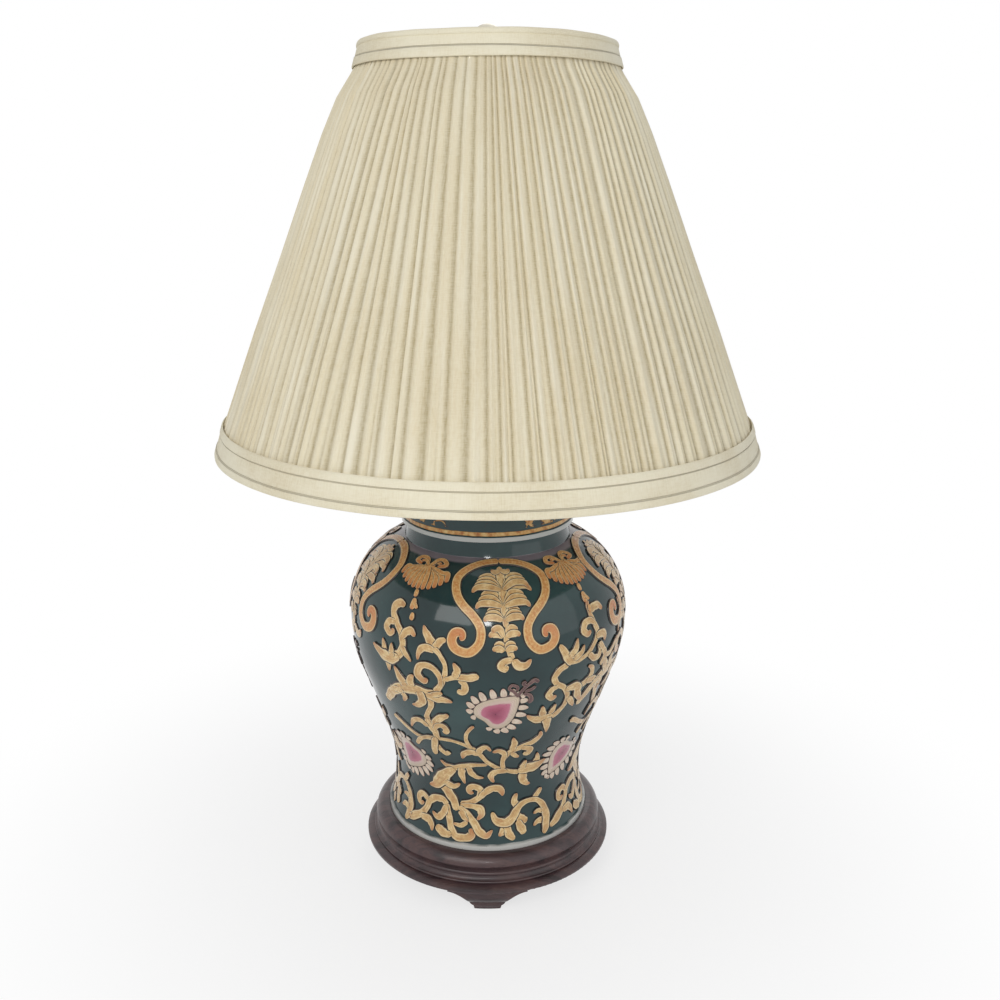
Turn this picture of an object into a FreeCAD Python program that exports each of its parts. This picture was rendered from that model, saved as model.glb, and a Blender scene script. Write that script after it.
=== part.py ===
import FreeCAD, Part
import math
import os

import Sketcher

# A ginger jar table lamp: a porcelain jar and lid on a turned wooden stand with four
# carved feet, clamped on one threaded pipe that carries the socket, the harp and a
# pleated empire shade.  Origin: centre of the base on the table, +Z up, front at -Y.

SIZES = (
    # name, millimetres (degrees or a count where it says so), what it is
    ("foot_height", 15.3, "table to the underside of the stand"),
    ("foot_width", 54.0, "width of a foot where it meets the stand"),
    ("foot_pad_width", 17.0, "width of a foot where it meets the table"),
    ("foot_reach", 86.0, "axis to the outside of a foot"),
    ("foot_depth", 17.0, "a foot from outside to inside"),
    ("foot_shoulder", 1.7, "square edge of a foot under the stand"),
    ("stand_height", 23.0, "underside of the stand to its rim"),
    ("flange_radius", 88.0, "widest turned edge of the stand"),
    ("lower_bead_radius", 83.5, "thin bead above the flange"),
    ("middle_bead_radius", 81.1, "bead under the cushion"),
    ("cushion_radius", 81.3, "upper moulding of the stand"),
    ("rim_width", 3.2, "flat rim round the jar's seat"),
    ("seat_depth", 1.3, "how deep the jar stands in the wood"),
    ("stand_recess_radius", 26.0, "hollow under the stand for the nut"),
    ("stand_recess_depth", 9.0, "depth of that hollow"),
    ("jar_foot_radius", 71.4, "white foot ring of the jar"),
    ("jar_foot_band", 4.2, "height of the foot ring"),
    ("jar_foot_wall", 9.0, "width of the foot ring's bearing face"),
    ("jar_foot_recess", 3.0, "hollow inside the foot ring"),
    ("jar_waist_radius", 65.3, "narrowest part of the jar"),
    ("jar_waist_height", 33.4, "foot of the jar to its waist"),
    ("jar_waist_sweep", 103.0, "radius of the curve in at the waist"),
    ("jar_belly_radius", 94.8, "widest part of the jar"),
    ("jar_belly_height", 153.4, "foot of the jar to its widest part"),
    ("jar_belly_sweep", 118.0, "radius of the curve under the widest part"),
    ("jar_shoulder_sweep", 54.0, "radius of the shoulder"),
    ("jar_wall", 5.0, "porcelain thickness of the jar"),
    ("jar_floor", 10.0, "foot of the jar to the floor inside"),
    ("neck_base_radius", 56.7, "neck where it leaves the shoulder"),
    ("neck_radius", 54.6, "neck inside the lid"),
    ("neck_show", 11.0, "neck that shows under the lid"),
    ("neck_inside", 14.0, "neck that the lid covers"),
    ("lip_round", 1.4, "rounding of the neck's lip"),
    ("lid_rim_radius", 58.4, "lower rim of the lid"),
    ("lid_side_radius", 57.8, "side of the lid"),
    ("lid_rim_band", 3.0, "height of the lid's rim"),
    ("lid_play", 0.6, "gap between lid and neck"),
    ("lid_side_height", 13.0, "rim to where the lid rounds in"),
    ("lid_shoulder_round", 14.0, "rounding of the lid's shoulder"),
    ("lid_shoulder_turn", 62.0, "degrees that the shoulder turns through"),
    ("lid_wall", 5.0, "porcelain thickness of the lid"),
    ("lid_flat_radius", 18.0, "flat seat on top of the lid"),
    ("pipe_radius", 4.8, "threaded lamp pipe"),
    ("pipe_bore", 3.2, "wire way through the pipe"),
    ("pipe_tail", 2.0, "pipe that shows under the nut"),
    ("pipe_engagement", 8.0, "pipe screwed into the socket"),
    ("drill_play", 0.6, "gap round the pipe in porcelain and wood"),
    ("thread_play", 0.05, "gap round the pipe in a threaded piece"),
    ("washer_radius", 16.0, "washer under the stand"),
    ("washer_thickness", 1.5, "thickness of that washer"),
    ("nut_radius", 9.0, "nut across its corners, halved"),
    ("nut_height", 4.8, "height of the nut"),
    ("bushing_flange_radius", 6.0, "end bushing of the pipe"),
    ("bushing_flange", 1.4, "thickness of the bushing's flange"),
    ("bushing_depth", 7.0, "bushing inside the pipe"),
    ("cord_hole_radius", 2.3, "hole for the cord in the bushing"),
    ("gasket_radius", 14.0, "rubber ring on the lid"),
    ("gasket_thickness", 1.0, "thickness of that ring"),
    ("vase_cap_radius", 22.0, "spun brass cap on the lid"),
    ("vase_cap_height", 4.5, "height of that cap"),
    ("vase_cap_wall", 1.0, "metal thickness of that cap"),
    ("spindle_height", 10.6, "brass neck above the cap"),
    ("spindle_radius", 9.0, "foot of the brass neck"),
    ("spindle_waist", 6.6, "thin part of the brass neck"),
    ("saddle_thickness", 1.6, "strip of the harp saddle"),
    ("saddle_span", 54.0, "between the two legs of the harp"),
    ("saddle_rise", 9.9, "saddle's underside to the top of its ears"),
    ("saddle_bend", 7.0, "outside radius of the saddle's bends"),
    ("saddle_disc_radius", 11.0, "round middle of the saddle"),
    ("saddle_arm_width", 8.0, "arms of the saddle"),
    ("lap_height", 8.0, "half-round lap of saddle and harp"),
    ("harp_height", 228.6, "foot of the harp to the shade's seat"),
    ("harp_wire_radius", 1.65, "wire of the harp"),
    ("harp_half_width", 57.0, "axis to the widest part of the wire"),
    ("harp_widest", 134.0, "foot of the harp to its widest part"),
    ("harp_leg", 31.0, "straight foot of each leg"),
    ("harp_top_radius", 46.0, "curve of the wire at the top"),
    ("harp_seat_radius", 9.0, "round seat on top of the harp"),
    ("harp_seat_thickness", 2.0, "thickness of that seat"),
    ("stud_radius", 3.1, "threaded stud above the seat"),
    ("stud_height", 12.0, "height of the stud"),
    ("sleeve_radius", 3.3, "sliding sleeve on a leg of the harp"),
    ("sleeve_height", 14.0, "height of a sleeve"),
    ("running_gap", 0.08, "gap round a piece that slides or turns"),
    ("socket_cap_radius", 17.2, "brass cap of the socket"),
    ("socket_cap_height", 19.0, "height of that cap"),
    ("socket_collar_radius", 7.4, "collar of the cap on the pipe"),
    ("socket_collar_height", 6.0, "height of that collar"),
    ("socket_wall", 0.7, "metal thickness of cap and shell"),
    ("shell_height", 44.0, "brass shell of the socket"),
    ("shell_overlap", 5.0, "shell inside the cap"),
    ("liner_wall", 0.6, "insulating sleeve in the shell"),
    ("block_height", 20.0, "insulating block in the socket"),
    ("block_seat", 1.5, "foot of the shell to the foot of the block"),
    ("slip_gap", 0.15, "gap between pieces that slip together"),
    ("screw_shell_radius", 13.2, "inside of the bulb's screw shell"),
    ("screw_shell_wall", 0.45, "metal thickness of the screw shell"),
    ("screw_shell_height", 20.0, "height of the screw shell"),
    ("terminal_radius", 2.9, "head of a terminal screw"),
    ("terminal_height", 1.8, "height of that head"),
    ("knob_height", 27.0, "socket's foot to the axis of the switch"),
    ("shaft_radius", 2.0, "switch shaft"),
    ("shaft_reach", 30.0, "axis of the lamp to the end of the shaft"),
    ("knob_radius", 5.0, "turn knob of the switch"),
    ("knob_length", 15.0, "length of the knob"),
    ("knob_flute_radius", 1.1, "grip flute in the knob"),
    ("knob_flutes", 10, "count of grip flutes"),
    ("cam_radius", 4.6, "cam of the switch inside the block"),
    ("cam_length", 4.0, "length of the cam"),
    ("bulb_lift", 2.0, "bulb's contact above the screw shell's floor"),
    ("bulb_base_radius", 12.9, "screw base of the bulb"),
    ("bulb_base_height", 26.5, "height of the screw base"),
    ("bulb_radius", 30.0, "glass of the bulb"),
    ("bulb_length", 108.0, "bulb from end to end"),
    ("bulb_neck_radius", 12.2, "neck of the glass"),
    ("bulb_wall", 0.8, "glass thickness"),
    ("shade_height", 247.2, "shade from edge to edge"),
    ("shade_drop", 10.8, "top edge of the shade to its seat"),
    ("shade_bottom_radius", 178.0, "bottom edge of the shade"),
    ("shade_top_radius", 79.0, "top edge of the shade"),
    ("bottom_band_height", 19.0, "folded band round the bottom"),
    ("bottom_band_lean", 0.67, "lean of that band as a share of the liner's lean"),
    ("top_band_height", 14.9, "folded band round the top"),
    ("top_band_lean", 0.655, "lean of that band as a share of the liner's lean"),
    ("band_thickness", 1.0, "folded cloth of a band"),
    ("band_step", 0.35, "how far one fold stands over the next"),
    ("fold_inset", 4.6, "stiff liner inside the edge of the shade"),
    ("liner_thickness", 0.6, "stiff liner of the shade"),
    ("hem_gap", 0.6, "liner short of the shade's edges"),
    ("hem_turn", 0.4, "cloth turned in under the liner's edges"),
    ("pleat_count", 96, "count of pleats"),
    ("pleat_depth", 1.6, "ridge to valley of a pleat"),
    ("pleat_fullness", 4.8, "how far the pleats bulge at mid height"),
    ("ring_wire_radius", 1.5, "wire of the shade's rings and arms"),
    ("ring_lift", 2.4, "ring's wire from the edge of the shade"),
    ("arm_count", 3, "arms of the shade's fitter"),
    ("arm_weld", 3.3, "length of an arm that lies on the washer"),
    ("arm_sink", 0.8, "how far an arm's wire is pressed into the washer"),
    ("fitter_washer_radius", 12.5, "washer in the middle of the fitter"),
    ("fitter_washer_thickness", 1.2, "thickness of that washer"),
    ("fitter_hole_radius", 5.56, "hole of that washer"),
    ("finial_height", 20.6, "finial above the washer"),
    ("finial_radius", 7.6, "knob of the finial"),
    ("finial_flange_radius", 7.0, "foot of the finial"),
    ("finial_stem_radius", 4.4, "stem of the finial"),
    ("turn_gap", 0.1, "gap above and below a piece that turns on the harp"),
)

LEFT = 1
RIGHT = -1
RIGHT_ANGLE = 90.0
FULL_TURN = 360.0
FOOT_PLACES = (("foot_front", 0.0), ("foot_right", 90.0), ("foot_back", 180.0), ("foot_left", 270.0))

doc = FreeCAD.newDocument("ginger_jar_lamp")
sheet = doc.addObject("Spreadsheet::Sheet", "Sizes")
subparts = []


class Size:
    """A length or angle: its number, and the formula that ties it to the sheet."""

    def __init__(self, number, formula=None):
        self.number = float(number)
        self.formula = formula if formula else repr(float(number))

    def __add__(self, other):
        other = as_size(other)
        return Size(self.number + other.number, f"({self.formula} + {other.formula})")

    def __radd__(self, other):
        return as_size(other) + self

    def __sub__(self, other):
        other = as_size(other)
        return Size(self.number - other.number, f"({self.formula} - {other.formula})")

    def __rsub__(self, other):
        return as_size(other) - self

    def __mul__(self, other):
        other = as_size(other)
        return Size(self.number * other.number, f"({self.formula} * {other.formula})")

    def __rmul__(self, other):
        return as_size(other) * self

    def __truediv__(self, other):
        other = as_size(other)
        return Size(self.number / other.number, f"({self.formula} / {other.formula})")

    def __neg__(self):
        return Size(-self.number, f"(0 - {self.formula})")


def as_size(value):
    return value if isinstance(value, Size) else Size(value)


def root(size):
    return Size(math.sqrt(size.number), f"sqrt({size.formula})")


def sine(angle):
    return Size(math.sin(math.radians(angle.number)), f"sin({angle.formula})")


def cosine(angle):
    return Size(math.cos(math.radians(angle.number)), f"cos({angle.formula})")


def leg(hypotenuse, side):
    """The other short side of a right triangle."""
    return root(hypotenuse * hypotenuse - side * side)


class SizeTable:
    """Fills the sheet and hands out each cell as a Size."""

    def __init__(self, rows):
        for row, (name, value, meaning) in enumerate(rows, start=1):
            sheet.set(f"A{row}", meaning)
            sheet.set(f"B{row}", str(value))
            sheet.setAlias(f"B{row}", name)
            setattr(self, name, Size(value, f"Sizes.{name}"))
        doc.recompute()


d = SizeTable(SIZES)


# ---- drawing -----------------------------------------------------------------


def corner(across, up):
    """A corner that a straight edge reaches."""
    return as_size(across), as_size(up), None, 0


def arc_to(across, up, radius, turn):
    """A corner that an arc reaches, bending to the left or right on its way."""
    return as_size(across), as_size(up), as_size(radius), turn


def point(step):
    return FreeCAD.Vector(step[0].number, step[1].number, 0)


def short_arc(start, finish, radius, turn):
    """The short arc between two points, run counter-clockwise as sketches want it."""
    chord = finish - start
    middle = (start + finish) * 0.5
    height = math.sqrt(max(radius ** 2 - (chord.Length / 2) ** 2, 0.0))
    aside = FreeCAD.Vector(-chord.y, chord.x, 0).normalize() * (height * turn)
    centre = middle + aside
    first, last = (start, finish) if turn == LEFT else (finish, start)
    begin = math.atan2(first.y - centre.y, first.x - centre.x)
    end = math.atan2(last.y - centre.y, last.x - centre.x)
    circle = Part.Circle(centre, FreeCAD.Vector(0, 0, 1), radius)
    return Part.ArcOfCircle(circle, begin, end)


def bind_constraint(sketch, constraint, size):
    index = sketch.addConstraint(constraint)
    sketch.setExpression(f"Constraints[{index}]", size.formula)


def pin(sketch, edge, end, across, up):
    """Ties one end of an edge to the sheet, across and up from the origin."""
    for kind, size, axis in (("DistanceX", across, -2), ("DistanceY", up, -1)):
        if abs(size.number) < 1e-9:
            sketch.addConstraint(Sketcher.Constraint("PointOnObject", edge, end, axis))
        elif size.number > 0:
            rule = Sketcher.Constraint(kind, -1, 1, edge, end, size.number)
            bind_constraint(sketch, rule, size)
        else:
            rule = Sketcher.Constraint(kind, edge, end, -1, 1, -size.number)
            bind_constraint(sketch, rule, -size)


def draw_outline(sketch, steps):
    """A closed outline of straight edges and arcs through corners tied to the sheet."""
    edges = []
    for i, step in enumerate(steps):
        start = point(steps[i - 1])
        radius, turn = step[2], step[3]
        if radius is None:
            index = sketch.addGeometry(Part.LineSegment(start, point(step)))
            edges.append((index, 1, 2))
        else:
            index = sketch.addGeometry(short_arc(start, point(step), radius.number, turn))
            edges.append((index, 1, 2) if turn == LEFT else (index, 2, 1))
    for i, step in enumerate(steps):
        edge, _, end = edges[i]
        following, beginning, _ = edges[(i + 1) % len(edges)]
        sketch.addConstraint(Sketcher.Constraint("Coincident", edge, end, following, beginning))
        pin(sketch, edge, end, step[0], step[1])
        if step[2] is not None:
            bind_constraint(sketch, Sketcher.Constraint("Radius", edge, step[2].number), step[2])


def new_sketch(body, plane, steps):
    sketch = body.newObject("Sketcher::SketchObject", f"{body.Name}_outline")
    for feature in body.Origin.OriginFeatures:
        if feature.Role == plane:
            sketch.AttachmentSupport = [(feature, "")]
    sketch.MapMode = "FlatFace"
    draw_outline(sketch, steps)
    return sketch


def bind(item, **settings):
    """Ties properties to the sheet; a double underscore stands for a dot."""
    for name, size in settings.items():
        item.setExpression(name.replace("__", "."), as_size(size).formula)


def turned(label, steps, base=None):
    """A piece turned round the lamp's axis: its outline is (radius, height) corners."""
    body = doc.addObject("PartDesign::Body", label)
    sketch = new_sketch(body, "XZ_Plane", steps)
    turning = body.newObject("PartDesign::Revolution", f"{label}_turning")
    turning.Profile = sketch
    turning.ReferenceAxis = (sketch, ["V_Axis"])
    turning.Angle = FULL_TURN
    if base is not None:
        bind(body, Placement__Base__z=base)
    return body


def cut_out(label, plane, steps, thickness):
    """A piece cut to an outline, as thick to one side of its plane as to the other."""
    body = doc.addObject("PartDesign::Body", label)
    sketch = new_sketch(body, plane, steps)
    pad = body.newObject("PartDesign::Pad", f"{label}_pad")
    pad.Profile = sketch
    pad.SideType = "Symmetric"
    bind(pad, Length=thickness)
    return body


def cylinder(label, radius, height, base=0.0):
    item = doc.addObject("Part::Cylinder", label)
    bind(item, Radius=radius, Height=height, Placement__Base__z=base)
    return item


def crosswise(label, radius, length, height):
    """A cylinder that runs from the lamp's axis towards the front."""
    item = doc.addObject("Part::Cylinder", label)
    item.Placement.Rotation = FreeCAD.Rotation(FreeCAD.Vector(1, 0, 0), RIGHT_ANGLE)
    bind(item, Radius=radius, Height=length, Placement__Base__z=height)
    return item


def box(label, length, width, height, corner_at):
    item = doc.addObject("Part::Box", label)
    bind(item, Length=length, Width=width, Height=height)
    x, y, z = corner_at
    bind(item, Placement__Base__x=x, Placement__Base__y=y, Placement__Base__z=z)
    return item


def cut(label, base, tool):
    item = doc.addObject("Part::Cut", label)
    item.Base = base
    item.Tool = tool
    return item


def common(label, base, tool):
    item = doc.addObject("Part::Common", label)
    item.Base = base
    item.Tool = tool
    return item


def fused(label, pieces):
    item = doc.addObject("Part::MultiFuse", label)
    item.Shapes = pieces
    return item


def formed(label, shape):
    item = doc.addObject("Part::Feature", label)
    item.Shape = shape
    return item


def keep(item):
    subparts.append(item)
    return item


# ---- levels that the pieces share --------------------------------------------

stand_rim = d.foot_height + d.stand_height
jar_foot = stand_rim - d.seat_depth
belly_level = jar_foot + d.jar_belly_height
shoulder_centre = d.jar_belly_radius - d.jar_shoulder_sweep
neck_foot = belly_level + leg(d.jar_shoulder_sweep, d.neck_base_radius - shoulder_centre)
lid_foot = neck_foot + d.neck_show
neck_lip = lid_foot + d.neck_inside

lid_round_centre = d.lid_side_radius - d.lid_shoulder_round
dome_start = lid_round_centre + d.lid_shoulder_round * cosine(d.lid_shoulder_turn)
dome_sweep = (dome_start - d.lid_flat_radius) / cosine(d.lid_shoulder_turn)
dome_rise = dome_sweep * (1 - sine(d.lid_shoulder_turn))
lid_round_rise = d.lid_shoulder_round * sine(d.lid_shoulder_turn)
lid_height = d.lid_side_height + lid_round_rise + dome_rise
lid_top = lid_foot + lid_height

cap_level = lid_top + d.gasket_thickness
spindle_level = cap_level + d.vase_cap_height
saddle_level = spindle_level + d.spindle_height
socket_level = saddle_level + d.saddle_thickness
harp_foot = saddle_level + d.saddle_rise
shade_seat = harp_foot + d.harp_height
shade_top = shade_seat + d.shade_drop
shade_foot = shade_top - d.shade_height
washer_level = shade_seat + d.turn_gap
finial_level = washer_level + d.fitter_washer_thickness + d.turn_gap

nut_ceiling = d.foot_height + d.stand_recess_depth
washer_under = nut_ceiling - d.washer_thickness
nut_level = washer_under - d.nut_height
pipe_foot = nut_level - d.pipe_tail
pipe_length = socket_level + d.pipe_engagement - pipe_foot

shell_level = socket_level + d.socket_cap_height - d.shell_overlap
shell_radius = d.socket_cap_radius - d.socket_wall - d.slip_gap
sleeve_outside = shell_radius - d.socket_wall - d.slip_gap
block_radius = sleeve_outside - d.liner_wall - d.slip_gap
block_level = shell_level + d.block_seat
screw_level = block_level + d.block_height
switch_level = socket_level + d.knob_height
bulb_level = screw_level + d.screw_shell_wall + d.bulb_lift


# ---- stand and feet ------------------------------------------------------------


def wooden_stand():
    """A turned rosewood disc: flange, beads, cushion moulding and a seat for the jar."""
    under = d.foot_height
    bead_in = d.lower_bead_radius - 0.9
    middle_in = d.middle_bead_radius - 1.0
    groove = d.cushion_radius - 2.3
    rim_outside = d.jar_foot_radius + d.drill_play + d.rim_width
    bore = d.pipe_radius + d.drill_play
    seat_wall = d.jar_foot_radius + d.drill_play
    return turned("wooden_stand", (
        corner(d.stand_recess_radius, under),
        corner(d.flange_radius - 1.2, under),
        arc_to(d.flange_radius, under + 1.2, 1.2, LEFT),
        corner(d.flange_radius, under + 2.4),
        arc_to(bead_in, under + 4.8, 9.0, LEFT),
        arc_to(bead_in, under + 6.4, 0.9, LEFT),
        arc_to(middle_in, under + 9.4, 3.4, RIGHT),
        arc_to(middle_in, under + 12.2, 1.5, LEFT),
        corner(groove, under + 12.9),
        arc_to(d.cushion_radius - 0.9, under + 15.6, 3.6, RIGHT),
        arc_to(d.cushion_radius, under + 16.6, 0.95, LEFT),
        arc_to(rim_outside, stand_rim, 8.2, LEFT),
        corner(seat_wall, stand_rim),
        corner(seat_wall, jar_foot),
        corner(bore, jar_foot),
        corner(bore, nut_ceiling),
        corner(d.stand_recess_radius, nut_ceiling),
    ))


def carved_foot(label, turn):
    """A bracket foot: an arched apron over a small pad, with a rounded knee outside."""
    half_top = d.foot_width / 2
    half_pad = d.foot_pad_width / 2
    top = d.foot_height
    shoulder = top - d.foot_shoulder
    lobe, scroll = half_pad + 4.0, half_pad + 1.0
    apron = cut_out(f"{label}_apron", "XZ_Plane", (
        corner(-half_pad, 0.0),
        corner(half_pad, 0.0),
        corner(scroll, top * 0.17),
        arc_to(lobe, top * 0.42, 3.6, LEFT),
        arc_to(half_top, shoulder, 17.0, RIGHT),
        corner(half_top, top),
        corner(-half_top, top),
        corner(-half_top, shoulder),
        arc_to(-lobe, top * 0.42, 17.0, RIGHT),
        arc_to(-scroll, top * 0.17, 3.6, LEFT),
    ), d.foot_reach * 2)
    knee = turned(f"{label}_knee", (
        corner(d.foot_reach - d.foot_depth, 0.0),
        corner(d.foot_reach - 4.4, 0.0),
        arc_to(d.foot_reach - 3.6, top * 0.12, 1.3, LEFT),
        arc_to(d.foot_reach - 4.2, top * 0.34, 4.0, RIGHT),
        arc_to(d.foot_reach - 0.4, top, 7.4, LEFT),
        corner(d.foot_reach - d.foot_depth, top),
    ))
    front = box(f"{label}_side", d.foot_width, d.foot_reach, top,
                (-half_top, -d.foot_reach, 0.0))
    ring = common(f"{label}_ring", knee, front)
    foot = common(label, ring, apron)
    foot.Placement.Rotation = FreeCAD.Rotation(FreeCAD.Vector(0, 0, 1), turn)
    return foot


# ---- porcelain -----------------------------------------------------------------


def flare_angle():
    """Slope of the straight stretch that touches both the waist's and the belly's curves."""
    rise = d.jar_belly_height - d.jar_waist_height
    sweep = d.jar_waist_sweep + d.jar_belly_sweep
    inside = sweep - (d.jar_belly_radius - d.jar_waist_radius)
    reach = root(inside * inside + rise * rise)
    lean = math.degrees(math.atan2(rise.number, inside.number))
    turn = math.degrees(math.acos(sweep.number / reach.number))
    formula = (f"(atan2({rise.formula}; {inside.formula})"
               f" - acos({sweep.formula} / {reach.formula}))")
    return Size(lean - turn, formula)


def jar_body():
    """A baluster jar with an even wall: foot ring, waist, belly, shoulder and neck."""
    slope = flare_angle()
    waist_centre = d.jar_waist_radius + d.jar_waist_sweep
    belly_centre = d.jar_belly_radius - d.jar_belly_sweep
    waist, belly = d.jar_waist_height, d.jar_belly_height
    foot_top = d.jar_foot_band
    neck = neck_foot - jar_foot
    lip = neck_lip - jar_foot
    neck_inside = d.neck_radius - d.jar_wall
    bore = d.pipe_radius + d.drill_play
    foot_inside = d.jar_foot_radius - d.jar_foot_wall

    def on_waist(sweep):
        return waist_centre - sweep * cosine(slope), waist + sweep * sine(slope)

    def on_belly(sweep):
        return belly_centre + sweep * cosine(slope), belly - sweep * sine(slope)

    inner_waist = d.jar_waist_sweep + d.jar_wall
    inner_belly = d.jar_belly_sweep - d.jar_wall
    inner_shoulder = d.jar_shoulder_sweep - d.jar_wall
    return turned("jar_body", (
        corner(foot_inside, 0.0),
        corner(d.jar_foot_radius, 0.0),
        corner(d.jar_foot_radius, foot_top),
        corner(waist_centre - leg(d.jar_waist_sweep, waist - foot_top - 0.3), foot_top + 0.3),
        arc_to(*on_waist(d.jar_waist_sweep), d.jar_waist_sweep, RIGHT),
        corner(*on_belly(d.jar_belly_sweep)),
        arc_to(d.jar_belly_radius, belly, d.jar_belly_sweep, LEFT),
        arc_to(d.neck_base_radius, neck, d.jar_shoulder_sweep, LEFT),
        arc_to(d.neck_radius, neck + d.neck_show, 30.0, RIGHT),
        corner(d.neck_radius, lip - d.lip_round),
        arc_to(d.neck_radius - d.lip_round, lip, d.lip_round, LEFT),
        corner(neck_inside + d.lip_round, lip),
        arc_to(neck_inside, lip - d.lip_round, d.lip_round, LEFT),
        corner(neck_inside, belly + leg(inner_shoulder, neck_inside - shoulder_centre)),
        arc_to(d.jar_belly_radius - d.jar_wall, belly, inner_shoulder, RIGHT),
        arc_to(*on_belly(inner_belly), inner_belly, RIGHT),
        corner(*on_waist(inner_waist)),
        arc_to(waist_centre - leg(inner_waist, waist - d.jar_floor), d.jar_floor,
               inner_waist, LEFT),
        corner(bore, d.jar_floor),
        corner(bore, d.jar_foot_recess),
        corner(foot_inside, d.jar_foot_recess),
    ), jar_foot)


def jar_lid():
    """A cap lid: a skirt over the neck, a rounded shoulder and a low drilled dome."""
    inside = d.neck_radius + d.lid_play
    inner_round = d.lid_shoulder_round - d.lid_wall
    inner_sweep = dome_sweep - d.lid_wall
    ledge = lid_round_centre + leg(inner_round, d.neck_inside - d.lid_side_height)
    turn = d.lid_shoulder_turn
    bore = d.pipe_radius + d.drill_play
    return turned("jar_lid", (
        corner(inside, 0.0),
        corner(d.lid_rim_radius, 0.0),
        corner(d.lid_rim_radius, d.lid_rim_band),
        corner(d.lid_side_radius, d.lid_rim_band + 0.5),
        corner(d.lid_side_radius, d.lid_side_height),
        arc_to(dome_start, d.lid_side_height + lid_round_rise, d.lid_shoulder_round, LEFT),
        arc_to(d.lid_flat_radius, lid_height, dome_sweep, LEFT),
        corner(bore, lid_height),
        corner(bore, lid_height - d.lid_wall),
        corner(d.lid_flat_radius, lid_height - d.lid_wall),
        arc_to(lid_round_centre + inner_round * cosine(turn),
               d.lid_side_height + inner_round * sine(turn), inner_sweep, RIGHT),
        arc_to(ledge, d.neck_inside, inner_round, RIGHT),
        corner(inside, d.neck_inside),
    ), lid_foot)


# ---- pipe and brass ------------------------------------------------------------


def tube(label, outside, bore, height, base):
    return turned(label, (
        corner(bore, 0.0),
        corner(outside, 0.0),
        corner(outside, height),
        corner(bore, height),
    ), base)


def cord_bushing():
    """The flanged bushing in the pipe's lower end, where the cord comes out."""
    inside = d.pipe_bore - d.thread_play
    return turned("cord_bushing", (
        corner(d.cord_hole_radius, 0.0),
        corner(d.bushing_flange_radius - 0.5, 0.0),
        arc_to(d.bushing_flange_radius, 0.5, 0.5, LEFT),
        corner(d.bushing_flange_radius, d.bushing_flange),
        corner(inside, d.bushing_flange),
        corner(inside, d.bushing_flange + d.bushing_depth),
        corner(d.cord_hole_radius, d.bushing_flange + d.bushing_depth),
    ), pipe_foot - d.bushing_flange)


def bottom_nut():
    """A hexagon nut with its corners turned off."""
    prism = doc.addObject("Part::Prism", "bottom_nut_prism")
    prism.Polygon = 6
    bind(prism, Circumradius=d.nut_radius, Height=d.nut_height, Placement__Base__z=nut_level)
    corners_off = turned("bottom_nut_turning", (
        corner(d.pipe_radius + d.thread_play, 0.0),
        corner(d.nut_radius * 0.9, 0.0),
        corner(d.nut_radius, d.nut_height * 0.12),
        corner(d.nut_radius, d.nut_height * 0.88),
        corner(d.nut_radius * 0.9, d.nut_height),
        corner(d.pipe_radius + d.thread_play, d.nut_height),
    ), nut_level)
    return common("bottom_nut", prism, corners_off)


def vase_cap():
    """A spun brass cap: a rolled edge, a low cone and a flat seat for the neck."""
    bore = d.pipe_radius + d.drill_play
    wall, top = d.vase_cap_wall, d.vase_cap_height
    seat = d.spindle_radius + 1.0
    return turned("vase_cap", (
        corner(bore, 0.0),
        corner(d.gasket_radius, 0.0),
        corner(d.vase_cap_radius - 0.6, 0.0),
        arc_to(d.vase_cap_radius - 0.6, 1.2, 0.8, LEFT),
        arc_to(d.gasket_radius, top - wall, 14.0, RIGHT),
        arc_to(seat, top, 3.0, RIGHT),
        corner(bore, top),
    ), cap_level)


def brass_neck():
    """The waisted brass spacer between the cap and the harp saddle."""
    bore = d.pipe_radius + d.thread_play
    foot, waist, top = d.spindle_radius, d.spindle_waist, d.spindle_height
    return turned("brass_neck", (
        corner(bore, 0.0),
        corner(foot, 0.0),
        corner(foot, 1.6),
        arc_to(waist, top * 0.36, 2.6, RIGHT),
        corner(waist, top * 0.62),
        arc_to(foot - 1.4, top - 1.4, 2.6, RIGHT),
        corner(foot - 1.4, top),
        corner(bore, top),
    ), spindle_level)


def half_round(label, side, height, base):
    """The outer half of a wire, standing on one ear of the saddle."""
    item = doc.addObject("Part::Cylinder", label)
    item.Angle = FULL_TURN / 2
    item.Placement.Rotation = FreeCAD.Rotation(FreeCAD.Vector(0, 0, 1), -RIGHT_ANGLE * side)
    bind(item, Radius=d.harp_wire_radius, Height=height, Placement__Base__z=base,
         Placement__Base__x=d.saddle_span * (side / 2))
    return item


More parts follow.
